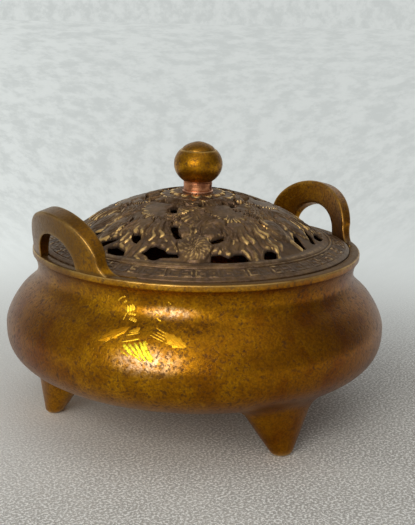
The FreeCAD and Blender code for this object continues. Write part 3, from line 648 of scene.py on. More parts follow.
# Holes of the lid, repeated every third of a turn. Each is an outline of corners: distance as a
# share of the dome's foot radius, and azimuth.
HOLES = (
    ((0.968, 190.5), (0.945, 194.5), (0.957, 197.8), (0.968, 200.2), (0.995, 200.6), (1.015, 198.0),
     (1.004, 193.0)),
    ((0.845, 198.7), (0.812, 198.3), (0.802, 200.2), (0.815, 203.0), (0.849, 203.8), (0.880, 203.3),
     (0.870, 201.2)),
    ((0.953, 209.2), (0.930, 210.8), (0.898, 211.8), (0.887, 213.8), (0.900, 216.0), (0.910, 218.5),
     (0.938, 220.2), (0.938, 225.0), (0.962, 225.6), (0.974, 217.8), (1.004, 215.6), (0.994, 213.8),
     (0.968, 211.8)),
    ((0.680, 217.0), (0.664, 219.0), (0.667, 221.6), (0.702, 221.6), (0.755, 223.0), (0.796, 225.4),
     (0.802, 223.2), (0.768, 220.8)),
    ((0.821, 240.8), (0.808, 242.7), (0.780, 248.8), (0.808, 247.8), (0.831, 245.2), (0.842, 241.8)),
    ((1.000, 240.2), (0.945, 240.9), (0.938, 244.8), (0.955, 246.6), (0.970, 248.0), (0.957, 249.6),
     (0.943, 252.0), (0.945, 255.3), (0.968, 256.0), (1.012, 257.4), (1.020, 253.5), (1.012, 244.8)),
    ((1.000, 264.3), (0.955, 266.3), (0.938, 268.5), (0.943, 270.8), (0.961, 272.0), (1.015, 269.8),
     (1.010, 266.8)),
    ((0.863, 294.2), (0.878, 295.6), (0.946, 293.2), (0.982, 292.4), (0.980, 290.5), (0.921, 289.6)),
    ((0.872, 311.6), (0.900, 310.4), (0.940, 307.8), (0.984, 305.0), (0.974, 301.8), (0.922, 304.6)),
    ((0.446, 207.0), (0.425, 209.4), (0.456, 214.5), (0.492, 214.8), (0.499, 212.0), (0.484, 209.0)),
    ((0.420, 271.5), (0.400, 272.0), (0.382, 274.0), (0.395, 278.6), (0.414, 278.0)),
    ((0.344, 235.0), (0.338, 240.3), (0.374, 239.0), (0.369, 236.0)),
    ((0.354, 286.5), (0.344, 292.0), (0.382, 290.5), (0.402, 286.0), (0.392, 284.0)),
)


def turned_frame(x, y, azimuth, distance):
    """Distance outwards and to the left from a point at an azimuth and a distance from the axis."""
    angle = math.radians(azimuth)
    cosine, sine = math.cos(angle), math.sin(angle)
    return x * cosine + y * sine - distance, y * cosine - x * sine


def hole_field(x, y):
    """Distance in millimetres from the nearest hole's edge, above zero inside it.

    The distance to an outline is the least distance to its sides, and a point is inside where a line
    from it crosses the sides an odd number of times. Growing the outline a little rounds its corners.
    """
    grown, near_enough = 0.25, 3
    best = np.full(x.shape, -9.0)
    for third, outline in ((third, outline) for third in range(3) for outline in HOLES):
        share, azimuth = np.array(outline).T
        angle = np.radians(azimuth + 120 * third)
        corner = (share * DOME_FOOT * (np.cos(angle), np.sin(angle))).T
        middle = corner.mean(axis=0)
        reach = np.linalg.norm(corner - middle, axis=1).max()
        near = np.hypot(x - middle[0], y - middle[1]) < reach + near_enough
        point = np.stack([x[near], y[near]], axis=-1)[:, None]
        side = np.roll(corner, -1, axis=0) - corner
        along = (((point - corner) * side).sum(-1) / (side * side).sum(-1)).clip(0, 1)
        gap = np.linalg.norm(point - corner - along[..., None] * side, axis=-1).min(axis=1)
        above = point[..., 1] >= corner[:, 1]
        steep = np.where(side[:, 1] == 0, 1, side[:, 1])
        crossing = corner[:, 0] + (point[..., 1] - corner[:, 1]) / steep * side[:, 0]
        over = (above != np.roll(above, -1, axis=1)) & (point[..., 0] < crossing)
        inside = over.sum(axis=1) % 2 == 1
        best[near] = np.maximum(best[near], np.where(inside, gap, -gap) + grown)
    return best


def fan(x, y, azimuth, origin, long, wide, pitch, shift, lobe, bend):
    """A fan of combed strands that ends in finger tips, seen from above.

    From an origin on the sector's middle line, strands leave sideways and turn outwards, a strand at
    every pitch of angle, stirred by slow waves. The outline is an ellipse, notched between strands and
    deeper between lobes of them. Gives how far in from the outline a point is, the cube of its share
    of the way out, and the cross shapes of strand and lobe.
    """
    seed = 1.7 * (azimuth % 120)
    out, side = turned_frame(x, y, azimuth, origin)
    out, side = (out + 0.45 * np.sin(0.55 * side + 1.2 * np.sin(0.3 * out + seed)),
                 side + 0.50 * np.sin(0.5 * out + seed) + 0.16 * np.sin(1.6 * out + 0.9 * side))
    reach, angle = np.hypot(out, side), np.arctan2(side, out)
    wave = angle + 0.030 * np.sin(0.9 * reach + 3.1 * angle + seed)
    wave = wave + bend * np.tanh(5 * angle) / (1 + np.exp((reach - 11) / 2.2))
    strand = wave / math.radians(pitch) + shift
    number = np.round(strand)
    cross = 1 - np.abs(2 * (strand - number)) ** 2.4
    vary = np.sin(12.9 * number + seed) * 0.5 + 0.5
    group = wave / math.radians(pitch * lobe) + shift * 0.7 + 0.10 * np.sin(0.7 * reach + seed)
    broad = 1 - np.abs(2 * (group - np.round(group))) ** 2.2
    limit = 1 / np.sqrt((np.cos(angle) / long) ** 2 + (np.sin(angle) / wide) ** 2)
    limit = np.where(out > 0, limit, np.minimum(limit, 5.0))
    limit = limit * (0.80 + 0.05 * vary + 0.07 * cross + 0.12 * broad)
    return limit - reach, (reach / limit).clip(0, 1) ** 3, cross * (0.7 + 0.3 * vary), broad


def rounded_edge(inset, width):
    """Height share of an edge that rises as a quarter circle over a width."""
    share = np.clip(inset / width, 0, 1)
    return np.sqrt(share * (2 - share))


# Rings of petals round the collar, outermost first: radius of the tips, depth of the notches between
# them, phase and height.
PETALS = ((17.6, 3.0, 0.35, 0.30), (13.4, 2.6, 1.0, 0.62), (9.7, 2.0, 0.0, 0.95))


def petals(radius, azimuth):
    """Rings of petals, height and wear. Each petal is a lobe |cos(7 azimuth)| wide."""
    height, ridge = np.full(radius.shape, -0.45), np.zeros(radius.shape)
    for tip, notch, phase, crest in PETALS:
        lobe = np.abs(np.cos(7 * azimuth + phase + 0.25 * np.sin(3 * azimuth + tip)))
        inset = tip - notch * (1 - lobe) ** 1.3 - radius
        vein = np.exp(-((np.arccos(lobe) * radius / 7) / 0.22) ** 2)
        shape = crest - 0.38 + 0.38 * rounded_edge(inset, 1.1) - 0.42 * (1 - lobe) ** 2 - 0.12 * vein
        shape = shape - 0.10 * np.clip(inset - 1.0, 0, 3)
        over = (inset > 0) & (shape > height)
        height = np.where(over, shape, height)
        ridge = np.where(over, lobe * np.exp(-((inset - 0.6) / 0.8) ** 2), ridge)
    return height, ridge


def swelling(x, y, azimuth, distance, long, wide, power):
    """A low oval dome: 1 at its middle and 0 at its rim, and the share of the way out to the rim."""
    out, side = turned_frame(x, y, azimuth, distance)
    gap = np.hypot(out / long, side / wide * (1 + 0.3 * out / long))
    return (1 - gap * gap).clip(0) ** power, gap


def carving_relief(x, y):
    """Height over the plain dome and wear of one third of the lid: the highest form at each point.

    Three tiers of combed fingers spread from each head over a sunk ground. Fans and oval leaves lie
    between the heads, and a round fruit with a grooved edge and fine rays lies on one group of them.
    """
    height = np.full(x.shape, -0.75)
    ridge = np.zeros(x.shape)

    def lay(shape, gloss, inset, valley=-0.45):
        """Lays a form over what is there, with a valley round it that sinks outwards."""
        nonlocal height, ridge
        height = np.where(inset > 0, height, np.minimum(height, valley - 1.5 * inset))
        above = (inset > 0) & (shape > height)
        height, ridge = np.where(above, shape, height), np.where(above, gloss, ridge)

    for between in (170, 230, 290):
        for lean, long in ((-15, 21.5), (15, 22.5), (0, 24.0)):
            inset, out, cross, broad = fan(x, y, between + lean, 18.0, long, 8.0, 10.5, 0.3, 2.7, 0.2)
            shape = -0.15 + 0.40 * rounded_edge(inset, 0.8)
            shape = shape - (0.18 + 0.35 * out) * (1 - cross) - 0.2 * (1 - broad)
            lay(shape, cross * (0.10 + 0.90 * out), inset)
    for head in (140, 200, 260, 320):
        mass, _ = swelling(x, y, head, 26.2, 9.5, 9.5, 0.8)
        inset, out, cross, broad = fan(x, y, head + 2.5, 15.5, 29.5, 19.0, 6.6, 0.5, 3.3, 0.25)
        shape = 0.05 + 0.50 * rounded_edge(inset, 0.7)
        shape = shape - (0.16 + 0.62 * out) * (1 - cross) - 0.34 * (1 - broad)
        lay(shape, cross ** 2 * (0.05 + 0.95 * out) * broad, inset, -0.35)
        inset, out, cross, broad = fan(x, y, head - 1.5, 11.5, 26.0, 16.4, 5.6, 0.0, 3.6, 0.6)
        shape = 0.35 + 0.60 * mass + 0.60 * rounded_edge(inset, 0.8)
        shape = shape - (0.20 + 0.70 * out) * (1 - cross) - (0.34 + 0.40 * out) * (1 - broad) ** 1.5
        lay(shape, cross ** 2 * (0.05 + 0.95 * out) * (0.4 + 0.6 * broad), inset, -0.10)
        inset, out, cross, broad = fan(x, y, head + 3.5, 13.0, 15.0, 9.5, 7.0, 0.3, 2.6, 0.9)
        shape = 0.75 + 0.50 * mass + 0.45 * rounded_edge(inset, 0.7)
        shape = shape - (0.2 + 0.4 * out) * (1 - cross) - 0.3 * (1 - broad) ** 2
        lay(shape, cross ** 2 * out * 0.9, inset, 0.25)
    for between in (170, 230, 290):
        for lean, far, long, wide in ((-8.5, 33.0, 5.6, 3.4), (8.5, 34.0, 6.4, 3.2)):
            mass, gap = swelling(x, y, between + 3.5 + lean, far, long, wide, 0.5)
            vein = np.abs(np.sin(9 * gap + 4 * np.arctan2(y, x)))
            lay(1.05 * mass - 0.16 * vein, 0.6 * vein * gap, wide * (1 - gap), 0.0)

    azimuth, distance, size = 233, 38.2, 5.4
    mass, gap = swelling(x, y, azimuth, distance, size, size, 0.30)
    height = np.where(gap < 1, -1.0, height)
    angle = math.radians(azimuth)
    around = np.arctan2(y - distance * math.sin(angle), x - distance * math.cos(angle))
    rays = np.sin(15 * around + 9 * gap) * np.sin(11 * gap + 2 * np.sin(3 * around))
    rays = rays * np.clip(1.2 - gap, 0, 1)
    groove = np.exp(-((gap - 0.84) / 0.06) ** 2)
    lay(1.55 * mass + 0.09 * rays - 0.26 * groove, (0.40 + 0.30 * rays) * (gap < 0.95),
        size * (1 - gap), -0.1)

    radius = np.hypot(x, y)
    crown, tip = petals(radius, np.arctan2(y, x))
    lay(crown, tip, np.where(radius < PETALS[0][0] + 0.1, crown + 0.44, -1))
    return height, ridge


def snap_to_holes(x, y, border):
    """Moves the points of a border onto the holes' edge, in short steps down the distance's slope."""
    span, longest = 0.02, 0.14
    for _ in range(4):
        px, py = x[border], y[border]
        slope_x = (hole_field(px + span, py) - hole_field(px - span, py)) / (2 * span)
        slope_y = (hole_field(px, py + span) - hole_field(px, py - span)) / (2 * span)
        scale = hole_field(px, py) / (slope_x * slope_x + slope_y * slope_y + 1e-3)
        move = np.hypot(slope_x, slope_y) * np.abs(scale)
        scale *= np.minimum(1, longest / (move + 1e-9))
        x[border], y[border] = px - slope_x * scale, py - slope_y * scale
    x[:, -1], y[:, -1] = x[:, 0], y[:, 0]


def carving_grid(sizes):
    """Points of the carved field: top, underside, which faces are metal, and the marks."""
    columns, rows = sizes.carving_columns, sizes.carving_rows
    azimuths = math.pi + np.arange(columns + 1) * TURN / columns
    distances = np.linspace(FRINGE, CARVED_EDGE, rows + 1)
    x, y = distances[:, None] * np.cos(azimuths), distances[:, None] * np.sin(azimuths)
    third = columns // 3

    def thrice(part):
        """A third of the turn, put round three times, with its first column again at the end."""
        return np.concatenate([part, part, part, part[:, :1]], axis=1)

    solid = thrice(hole_field(x[:, :third], y[:, :third])) <= 0
    metal = solid[:-1, :-1] & solid[:-1, 1:] & solid[1:, 1:] & solid[1:, :-1]
    faces = np.zeros((rows + 2, columns + 2), int)
    faces[1:-1, 1:-1] = metal
    faces[:, 0], faces[:, -1] = faces[:, -2], faces[:, 1]
    touching = faces[:-1, :-1] + faces[:-1, 1:] + faces[1:, 1:] + faces[1:, :-1]
    full = np.full(touching.shape, 4)
    full[0], full[-1] = 2, 2
    snap_to_holes(x, y, (touching > 0) & (touching < full))
    radius = np.hypot(x, y)
    field = hole_field(x, y)
    relief, ridge = (thrice(part) for part in carving_relief(x[:, :third], y[:, :third]))
    away = (-field).clip(0)
    lip = np.exp(-((away - 0.5) / 0.25) ** 2)
    outer_side = (-np.gradient(field, distances, axis=0)).clip(0, 1)
    low = outer_side * np.exp(-(away / 1.5) ** 2)
    relief = relief * (1 - low) - 0.05 * low
    relief = np.maximum(relief, 0.08 * lip - 0.05) - 0.40 * (1 - rounded_edge(away, 0.4))
    relief *= np.clip((CARVED_EDGE - radius) / 0.4, 0, 1)
    level = dome_level(radius)
    top = np.stack([x, y, level + relief], axis=-1)
    thin = level - 0.75
    thick = np.minimum(dome_under(radius), thin) - thin
    under = np.stack([x, y, thin + thick * np.clip(away / 2.4, 0, 1) ** 2], axis=-1)
    wear = ridge * (1 - 0.7 * low) + 0.25 * lip
    depth = np.clip((0.18 - relief) / 0.65, 0, 1) * (1 - 0.8 * low)
    return top, under, metal, wear.clip(0, 1), depth


def make_carving(sizes, material):
    """Six carved sectors of the dome, each closed by its underside and by walls along its edges."""
    top, under, metal, wear, depth = carving_grid(sizes)
    width = sizes.carving_columns // 6
    low, high = slice(None, -1), slice(1, None)
    for sector in range(6):
        take = slice(sector * width, (sector + 1) * width + 1)
        faces = metal[:, sector * width:(sector + 1) * width]
        shell = Shell()
        upper = shell.index(top[:, take], wear[:, take], depth[:, take])
        lower = shell.index(under[:, take], 0.0, 1.0)
        shell.weave(upper[:, ::-1], keep=faces[:, ::-1])
        shell.weave(lower, keep=faces)
        framed = np.pad(faces, 1)
        for beside, one, two in ((framed[:-2, 1:-1], (low, high), (low, low)),
                                 (framed[2:, 1:-1], (high, low), (high, high)),
                                 (framed[1:-1, :-2], (low, low), (high, low)),
                                 (framed[1:-1, 2:], (high, high), (low, high))):
            edge = faces & ~beside
            shell.faces.append(np.stack([upper[one][edge], upper[two][edge],
                                         lower[two][edge], lower[one][edge]], axis=-1))
        settle(shell.build(f"lid_carving_{sector + 1}", 60), material, "cover", "bronze_lid", "lid")


def make_fringe(sizes, material):
    """The crown of petals round the collar, raised over the dome, with the stud's hole through it."""
    azimuths = round_trip(sizes.fringe_steps)
    radius = np.linspace(FRINGE, 5.0, 54)[:, None] + 0 * azimuths
    raised, ridge = petals(radius, np.broadcast_to(azimuths, radius.shape))
    raised = raised * np.clip((radius - 5.2) / 1.2, 0, 1)
    seat = LID_HIGH[2]
    level = np.minimum(dome_level(radius), seat) + raised
    level[-1] = seat
    top = polar(radius, azimuths, level)
    hole = softened([(5.0, seat), (1.75, seat), (1.75, BOSS_UNDER), (6.0, BOSS_UNDER)], 0.15, 3)[1:]
    outward = np.linspace(6.0, FRINGE, 12)[1:]
    under = np.stack([outward, np.minimum(dome_under(outward), BOSS_UNDER)], axis=1)
    rest = revolve(join(hole, under), azimuths)
    plain = np.zeros(rest.shape[:2])
    wear = np.concatenate([ridge, plain, ridge[:1]])
    depth = np.clip((0.05 - raised) / 0.55, 0, 1)
    depth = np.concatenate([depth, plain, depth[:1]])
    make_piece("lid_fringe", np.concatenate([top, rest, top[:1]]), material, "cover", "bronze_lid",
               "lid", wear, depth, 60)


# Finial


def make_knob(material):
    """A squat ball on a short neck, with a low cap set in a fine step, turned about the axis."""
    low, high = KNOB_LOW[2], KNOB_HIGH[2]
    wide, tall, centre = KNOB_HIGH[0], 7.15, low + 5.6
    neck = COLLAR_HIGH[0] - 0.35
    turn = np.linspace(-1.02, 0.7525, 60)
    ball = np.stack([wide * np.cos(turn), centre + tall * np.sin(turn)], axis=1)
    neck_top = np.array([neck, low + 0.75])
    leaving = ball[0] - ball[1]
    blend = hermite(ball[0], neck_top, leaving / np.linalg.norm(leaving) * 2.6, (-0.9, -0.5), 10)[::-1]
    step = ball[-1]
    cap_edge = np.array([step[0] - 0.42, step[1] - 0.1])
    share = np.linspace(0, 1, 26)
    cap = np.stack([cap_edge[0] * (1 - share ** 1.75) ** (1 / 1.45),
                    cap_edge[1] + (high - cap_edge[1]) * share], axis=1)
    groove = rounded(ball[-2], step, cap_edge, 0.12, 4)
    profile = join((0, low), rounded((0, low), (neck, low), neck_top, 0.15, 4), neck_top, blend,
                   ball[1:-1], groove, cap_edge, cap[1:])
    wear = np.exp(-(np.linalg.norm(profile - step, axis=1) / 0.4) ** 2)
    make_piece("bronze_knob", revolve(profile, round_trip(160)), material, "cover", "bronze_body",
               "finial_knob", wear[:, None])


def make_collar(material):
    """A turned copper ring with a foot, two fine grooves and a slight waist."""
    low, high = COLLAR_LOW[2], COLLAR_HIGH[2]
    foot = COLLAR_HIGH[0]
    waist, side = foot - 0.42, foot - 0.35
    line = softened([(0, low), (foot, low), (foot, low + 0.8), (side - 0.12, low + 0.95),
                     (side, low + 1.15), (waist, low + 2.2), (side, high - 0.7),
                     (side - 0.14, high - 0.55), (side, high - 0.4), (side, high), (0, high)], 0.12, 4)
    wear = np.exp(-((line[:, 1] - low - 0.7) / 0.35) ** 2)
    make_piece("copper_collar", revolve(line, round_trip(128)), material, "cover", "copper",
               "finial_collar", wear[:, None])


# Shader maths


class Value:
    """A value of a shader. Sums, products and quotients of it add Math nodes to its graph."""

    def __init__(self, graph, socket):
        self.graph, self.socket = graph, socket

    def math(self, operation, *others, swap=False):
        parts = [*others, self] if swap else [self, *others]
        return self.graph.add("ShaderNodeMath", {"operation": operation}, dict(enumerate(parts)))

    def __add__(self, other):
        return self.math("ADD", other)

    def __sub__(self, other):
        return self.math("SUBTRACT", other)

    def __rsub__(self, other):
        return self.math("SUBTRACT", other, swap=True)

    def __mul__(self, other):
        return self.math("MULTIPLY", other)

    def __truediv__(self, other):
        return self.math("DIVIDE", other)

    __radd__, __rmul__ = __add__, __mul__

    def clamp(self):
        return self.graph.add("ShaderNodeClamp", {}, {"Value": self})

    def step(self, low, high, start=0.0, end=1.0):
        """Smooth rise from start to end while the value goes from low to high."""
        return self.graph.add("ShaderNodeMapRange", {"interpolation_type": "SMOOTHSTEP"}, {
            "Value": self, "From Min": low, "From Max": high, "To Min": start, "To Max": end})


class Graph:
    """The nodes of one material, or of the world."""

    def __init__(self, owner):
        owner.use_nodes = True
        self.tree = owner.node_tree
        self.tree.nodes.clear()

    def add(self, kind, settings=None, sockets=None, output=0):
        """Adds a node: its settings first, then its sockets' values or links. Gives one output."""
        node = self.tree.nodes.new(kind)
        for key, value in (settings or {}).items():
            setattr(node, key, value)
        for key, value in (sockets or {}).items():
            if isinstance(value, Value):
                self.tree.links.new(value.socket, node.inputs[key])
            else:
                node.inputs[key].default_value = value
        return Value(self, node.outputs[output])

    def place(self):
        return self.add("ShaderNodeTexCoord", output="Object")

    def mark(self, name):
        return self.add("ShaderNodeAttribute", {"attribute_name": name}, output="Fac")

    def vector(self, operation, *parts, output="Vector"):
        """Vector Math on vectors."""
        return self.add("ShaderNodeVectorMath", {"operation": operation}, dict(enumerate(parts)), output)

    def along(self, vector, azimuth, lift=0.0):
        """How far a vector reaches towards an azimuth, and upwards by a share of its height."""
        towards = (math.cos(azimuth), math.sin(azimuth), lift)
        return self.vector("DOT_PRODUCT", vector, towards, output="Value")

    def noise(self, size, detail=3.0, rough=0.55, seed=(0.0, 0.0, 0.0), scale=(1.0, 1.0, 1.0)):
        """Soft noise from 0 to 1 with features of about a size in millimetres."""
        spot = self.add("ShaderNodeMapping", {}, {
            "Vector": self.place(), "Location": seed, "Scale": scale})
        return self.add("ShaderNodeTexNoise", {}, {
            "Vector": spot, "Scale": 1000 / size, "Detail": detail, "Roughness": rough})

    def patch(self, azimuth, radius, level, wide, high):
        """A soft oval patch round a point of the bowl: 1 at its middle, 0 beyond its half sizes."""
        angle = math.radians(azimuth)
        middle = Vector((radius * math.cos(angle), radius * math.sin(angle), level)) * MM
        away = self.vector("SUBTRACT", self.place(), middle)
        away = self.vector("DIVIDE", away, (wide * MM, wide * MM, high * MM))
        return self.vector("LENGTH", away, output="Value").step(1.0, 0.15)

    def facing(self, azimuth):
        """Share of the bowl's radius at which a point lies towards an azimuth, from -1 to 1."""
        return self.along(self.place(), math.radians(azimuth)) / (BELLY * MM)

    def mix(self, share, one, two):
        """A colour between two colours."""
        one, two = (tint if isinstance(tint, Value) else (*tint, 1.0) for tint in (one, two))
        return self.add("ShaderNodeMix", {"data_type": "RGBA"}, {0: share, 6: one, 7: two}, 2)

    def bump(self, height, depth):
        """A normal from a height of 0 to 1, where 1 stands a depth in millimetres."""
        return self.add("ShaderNodeBump", {}, {
            "Height": height, "Distance": depth * MM, "Strength": 1.0})

    def finish(self, shader, target="ShaderNodeOutputMaterial"):
        self.tree.links.new(shader.socket, self.tree.nodes.new(target).inputs["Surface"])


def new_material(name):
    """A material with its empty graph."""
    material = bpy.data.materials.new(name)
    return material, Graph(material)


def shine(graph, colour, metallic, rough, normal, **more):
    """Ends a material in a Principled shader."""
    graph.finish(graph.add("ShaderNodeBsdfPrincipled", {}, {
        "Base Color": colour, "Metallic": metallic, "Roughness": rough.clamp(), "Normal": normal,
        **{key.replace("_", " "): value for key, value in more.items()}}))


def bronze_body(colours):
    """Oiled brown bronze: clouds of tarnish, ragged dark specks, fine mottling and worn edges.

    Ovals place the painted highlights where the window's glare falls, a painted dark reflection in a
    band under the neck, the redder left side and the browner handle and knob. Painted shade darkens
    and reddens the right side and the far left edge, and painted light pales the lower belly and feet.
    """
    material, g = new_material("oiled_bronze")
    wide = g.noise(26, 4, 0.6, (0.4, 0.2, 0.9))
    middle = g.noise(6.5, 4, 0.62, (3.1, 0.4, 1.7))
    small = g.noise(1.7, 3, 0.62, (0.7, 2.2, 5.0))
    fine = g.noise(0.7, 2, 0.6, (4.0, 1.0, 3.0))
    reddish = g.noise(11, 3, 0.6, (5.0, 1.0, 2.0)).step(0.48, 0.66)
    wear, dust = g.mark("wear"), g.mark("depth")
    # Near the floor: fewer specks, and painted light that pales the lower belly and the feet.
    low = g.patch(0, 0, 6.0, 400, 24)
    crowd = g.noise(13, 3, 0.6, (2.0, 5.0, 1.0)).step(0.34, 0.60, 0.45, 1.0)
    spots = g.noise(1.0, 2, 0.5, (1.3, 7.0, 2.0)).step(0.54, 0.64)
    blots = g.noise(2.1, 3, 0.6, (5.3, 2.0, 6.0)).step(0.58, 0.70)
    specks = (spots * crowd * 0.8 + blots * 0.75).clamp() * (1.0 - low * 0.45)
    # Painted shade: darker and redder towards the right side and at the far left edge.
    shaded = (g.facing(300).step(0.1, 1.0) + g.facing(165).step(0.66, 1.0)).clamp()
    # Painted highlight: pale spots on the belly and the neck where the window's glare falls.
    rubbed = g.patch(221, BELLY, 38.0, 14, 5.5) + g.patch(226, NECK_RADIUS, NECK - 2.0, 10, 2.6)
    # Painted dark reflection: a dark band in the hollow under the neck, mixed in with the specks.
    painted_dark_reflection = g.patch(228, BELLY - 7, NECK - 5.4, 26, 3.0)
    knob = g.patch(0, 0, KNOB_LOW[2] + 8, 12, 11)
    browned = (g.patch(180, 57, RIM + 9, 34, 22) + knob * 0.75 + dust).clamp()

    clouds = (wide * 0.45 + middle * 0.55).step(0.32, 0.64)
    colour = g.mix(clouds, colours.bronze_deep, colours.bronze)
    for share, tint in (
            ((middle * 0.5 + small * 0.5).step(0.48, 0.66) * 0.45, colours.bronze_bright),
            # painted light on the lower belly and the feet, where the sides are not shaded
            (low * (1.0 - shaded) * 0.35, colours.bronze_bright),
            # real reddish patches, and the painted shade of the sides
            ((reddish * 0.35 + shaded * 0.75).clamp(), colours.bronze_red_and_shade),
            # painted highlight of the window's glare
            ((rubbed.clamp() * small.step(0.38, 0.60, 0.15, 1.0)).clamp() * 0.68, colours.bronze_painted_highlight),
            # real dark specks, and the painted dark reflection under the neck
            ((specks + painted_dark_reflection * small.step(0.34, 0.56) * 0.8).clamp() * 0.76, colours.speck),
            (fine.step(0.62, 0.38) * 0.36, colours.speck),
            (browned * 0.85, colours.bronze_dusty),
            ((wear * middle.step(0.3, 0.6, 0.3, 1.0)).clamp() * 0.75, colours.bronze_worn)):
        colour = g.mix(share, colour, tint)
    height = small * 0.6 + fine * 0.35 + middle * 0.5 - specks * 0.35
    shine(g, colour, 1.0 - specks * 0.2, 0.31 + small * 0.10 + specks * 0.12 - wear * 0.05 + dust * 0.14,
          g.bump(height, 0.085), Coat_Weight=0.14, Coat_Roughness=0.40, Coat_IOR=1.22)
    return material


def bronze_lid(colours):
    """Darker bronze of the lid: sooty brown in the hollows, with gold where hands have worn it,
    brightened as a painted highlight.
    """
    material, g = new_material("carved_bronze")
    middle = g.noise(5.0, 4, 0.6, (2.0, 0.0, 1.0))
    small = g.noise(1.4, 3, 0.6, (0.7, 2.2, 5.0))
    fine = g.noise(0.5, 2, 0.6)
    wear, depth = g.mark("wear"), g.mark("depth")
    # Worn gold on the ridges, hole lips, fret and mouldings, made brighter as a painted highlight.
    rubbed = (wear + small * 0.5 + middle * 0.4 - 0.25).step(0.55, 0.95)
    sooty = (depth * small.step(0.2, 0.7, 0.7, 1.1)).clamp()
    colour = g.mix(middle.step(0.35, 0.65), colours.lid_deep, colours.lid)
    colour = g.mix(small.step(0.46, 0.64) * 0.6, colour, colours.lid_grey)
    colour = g.mix(sooty * 0.95, colour, colours.soot)
    colour = g.mix(rubbed, colour, colours.lid_worn_and_highlight)
    shine(g, colour, (0.90 - depth * 0.35 + rubbed * 0.1).clamp(),
          0.42 - rubbed * 0.17 + depth * 0.24 + small * 0.10,
          g.bump(small * 0.7 + fine * 0.4, 0.09), Coat_Weight=0.06, Coat_Roughness=0.35)
    return material


def gilt(colours):
    """Gold leaf laid by hand: from orange to bright yellow, rubbed through in small bare spots."""
    material, g = new_material("gold_leaf")
    small = g.noise(1.1, 3, 0.6)
    fine = g.noise(0.35, 2, 0.6, (2.0, 1.0, 4.0))
    tone = g.mark("wear") + (small - 0.5) * 0.5
    bare = (small * 0.6 + fine * 0.4).step(0.54, 0.62)
    colour = g.mix(tone.step(0.10, 0.75), colours.gilt_deep, colours.gilt)
    colour = g.mix(tone.step(0.82, 1.0), colour, colours.gilt_bright)
    colour = g.mix(bare * 0.7, colour, colours.bronze_deep)
    shine(g, colour, 1.0, 0.30 + fine * 0.18 + bare * 0.1, g.bump(fine * 0.6 + small * 0.6, 0.05))
    return material


def copper(colours):
    """Turned copper: fine rings round the axis, brown tarnish in patches."""
    material, g = new_material("turned_copper")
    rings = g.noise(0.5, 3, 0.6, scale=(0.03, 0.03, 1.0))
    patch = g.noise(3.0, 3, 0.6)
    colour = g.mix(patch.step(0.42, 0.66), colours.copper, colours.copper_dark)
    colour = g.mix(g.mark("wear") * 0.5, colour, colours.copper_bright)
    shine(g, colour, 1.0, 0.26 + rings * 0.12 + patch * 0.08, g.bump(rings, 0.03))
    return material


def steel(colours):
    """Zinc-plated steel of the hidden fixing: dull crystals and a few rust spots."""
    material, g = new_material("plated_steel")
    spot = g.add("ShaderNodeMapping", {}, {"Vector": g.place()})
    crystal = g.add("ShaderNodeTexVoronoi", {}, {"Vector": spot, "Scale": 1000 / 0.9}, "Color")
    fine = g.noise(0.6, 3, 0.6)
    rust = g.noise(2.6, 4, 0.65).step(0.60, 0.72)
    colour = g.mix(rust * 0.8, g.mix(crystal, colours.zinc_dark, colours.zinc), colours.rust)
    shine(g, colour, (1 - rust * 0.7).clamp(), 0.32 + fine * 0.15 + rust * 0.3, g.bump(fine, 0.02))
    return material


# Stage


def turned(one, two, angle):
    """Two vectors at right angles, both turned by an angle in their plane."""
    return one * math.cos(angle) - two * math.sin(angle), one * math.sin(angle) + two * math.cos(angle)


def make_camera(stage):
    """Camera on a sphere round the bowl, aimed at its axis and then panned, tilted and rolled."""
    elevation, azimuth = stage.camera_elevation, stage.camera_azimuth
    back = Vector((math.sin(azimuth) * math.cos(elevation), -math.cos(azimuth) * math.cos(elevation),
                   math.sin(elevation)))
    place = Vector((0, 0, stage.camera_target)) + back * stage.camera_distance
    ahead = -back
    right = ahead.cross(Vector((0, 0, 1))).normalized()
    up = right.cross(ahead)
    right, ahead = turned(right, ahead, stage.camera_pan)
    up, ahead = turned(up, ahead, stage.camera_tilt)
    right, up = turned(right, up, stage.camera_roll)
    data = bpy.data.cameras.new("studio_camera")
    data.lens = stage.camera_lens
    data.sensor_width = 36
    data.clip_start = 0.02
    camera = bpy.data.objects.new("studio_camera", data)
    bpy.context.scene.collection.objects.link(camera)
    camera.matrix_world = Matrix((*zip(right, up, -ahead, place), (0, 0, 0, 1)))
    bpy.context.scene.camera = camera


def make_lamp(name, azimuth, elevation, distance, width, power, colour):
    """A square soft light on a sphere round the burner, facing it."""
    data = bpy.data.lights.new(name, "AREA")
    data.shape = "SQUARE"
    data.size = width
    data.energy = power
    data.color = colour
    lamp = bpy.data.objects.new(name, data)
    angle, lift = math.radians(azimuth), math.radians(elevation)
    out = Vector((math.cos(angle) * math.cos(lift), math.sin(angle) * math.cos(lift), math.sin(lift)))
    lamp.location = Vector((0, 0, 0.05)) + out * distance
    lamp.rotation_euler = out.to_track_quat("Z", "Y").to_euler()
    bpy.context.scene.collection.objects.link(lamp)


def looking(g):
    """1 on the rays that look at the backdrop: from the camera, off polished metal and through glass."""
    camera, glossy, passing = (g.add("ShaderNodeLightPath", output=f"Is {kind} Ray")
                               for kind in ("Camera", "Glossy", "Transmission"))
    return (camera + glossy + passing).clamp()


def backdrop_colour(g, stage, direction, place, scale, share):
    """Colour of the wall behind in a direction: paler on the window side, with small soft clouds."""
    facing = g.along(direction, math.radians(stage.window_azimuth))
    mottle = g.add("ShaderNodeTexNoise", {}, {
        "Vector": place, "Scale": scale, "Detail": 4.0, "Roughness": 0.7})
    wall = g.mix(facing.step(-1.0, -0.62), stage.backdrop_shade, stage.backdrop)
    return g.mix(mottle.step(0.38, 0.64) * share * 0.45, wall, stage.backdrop_mottle)


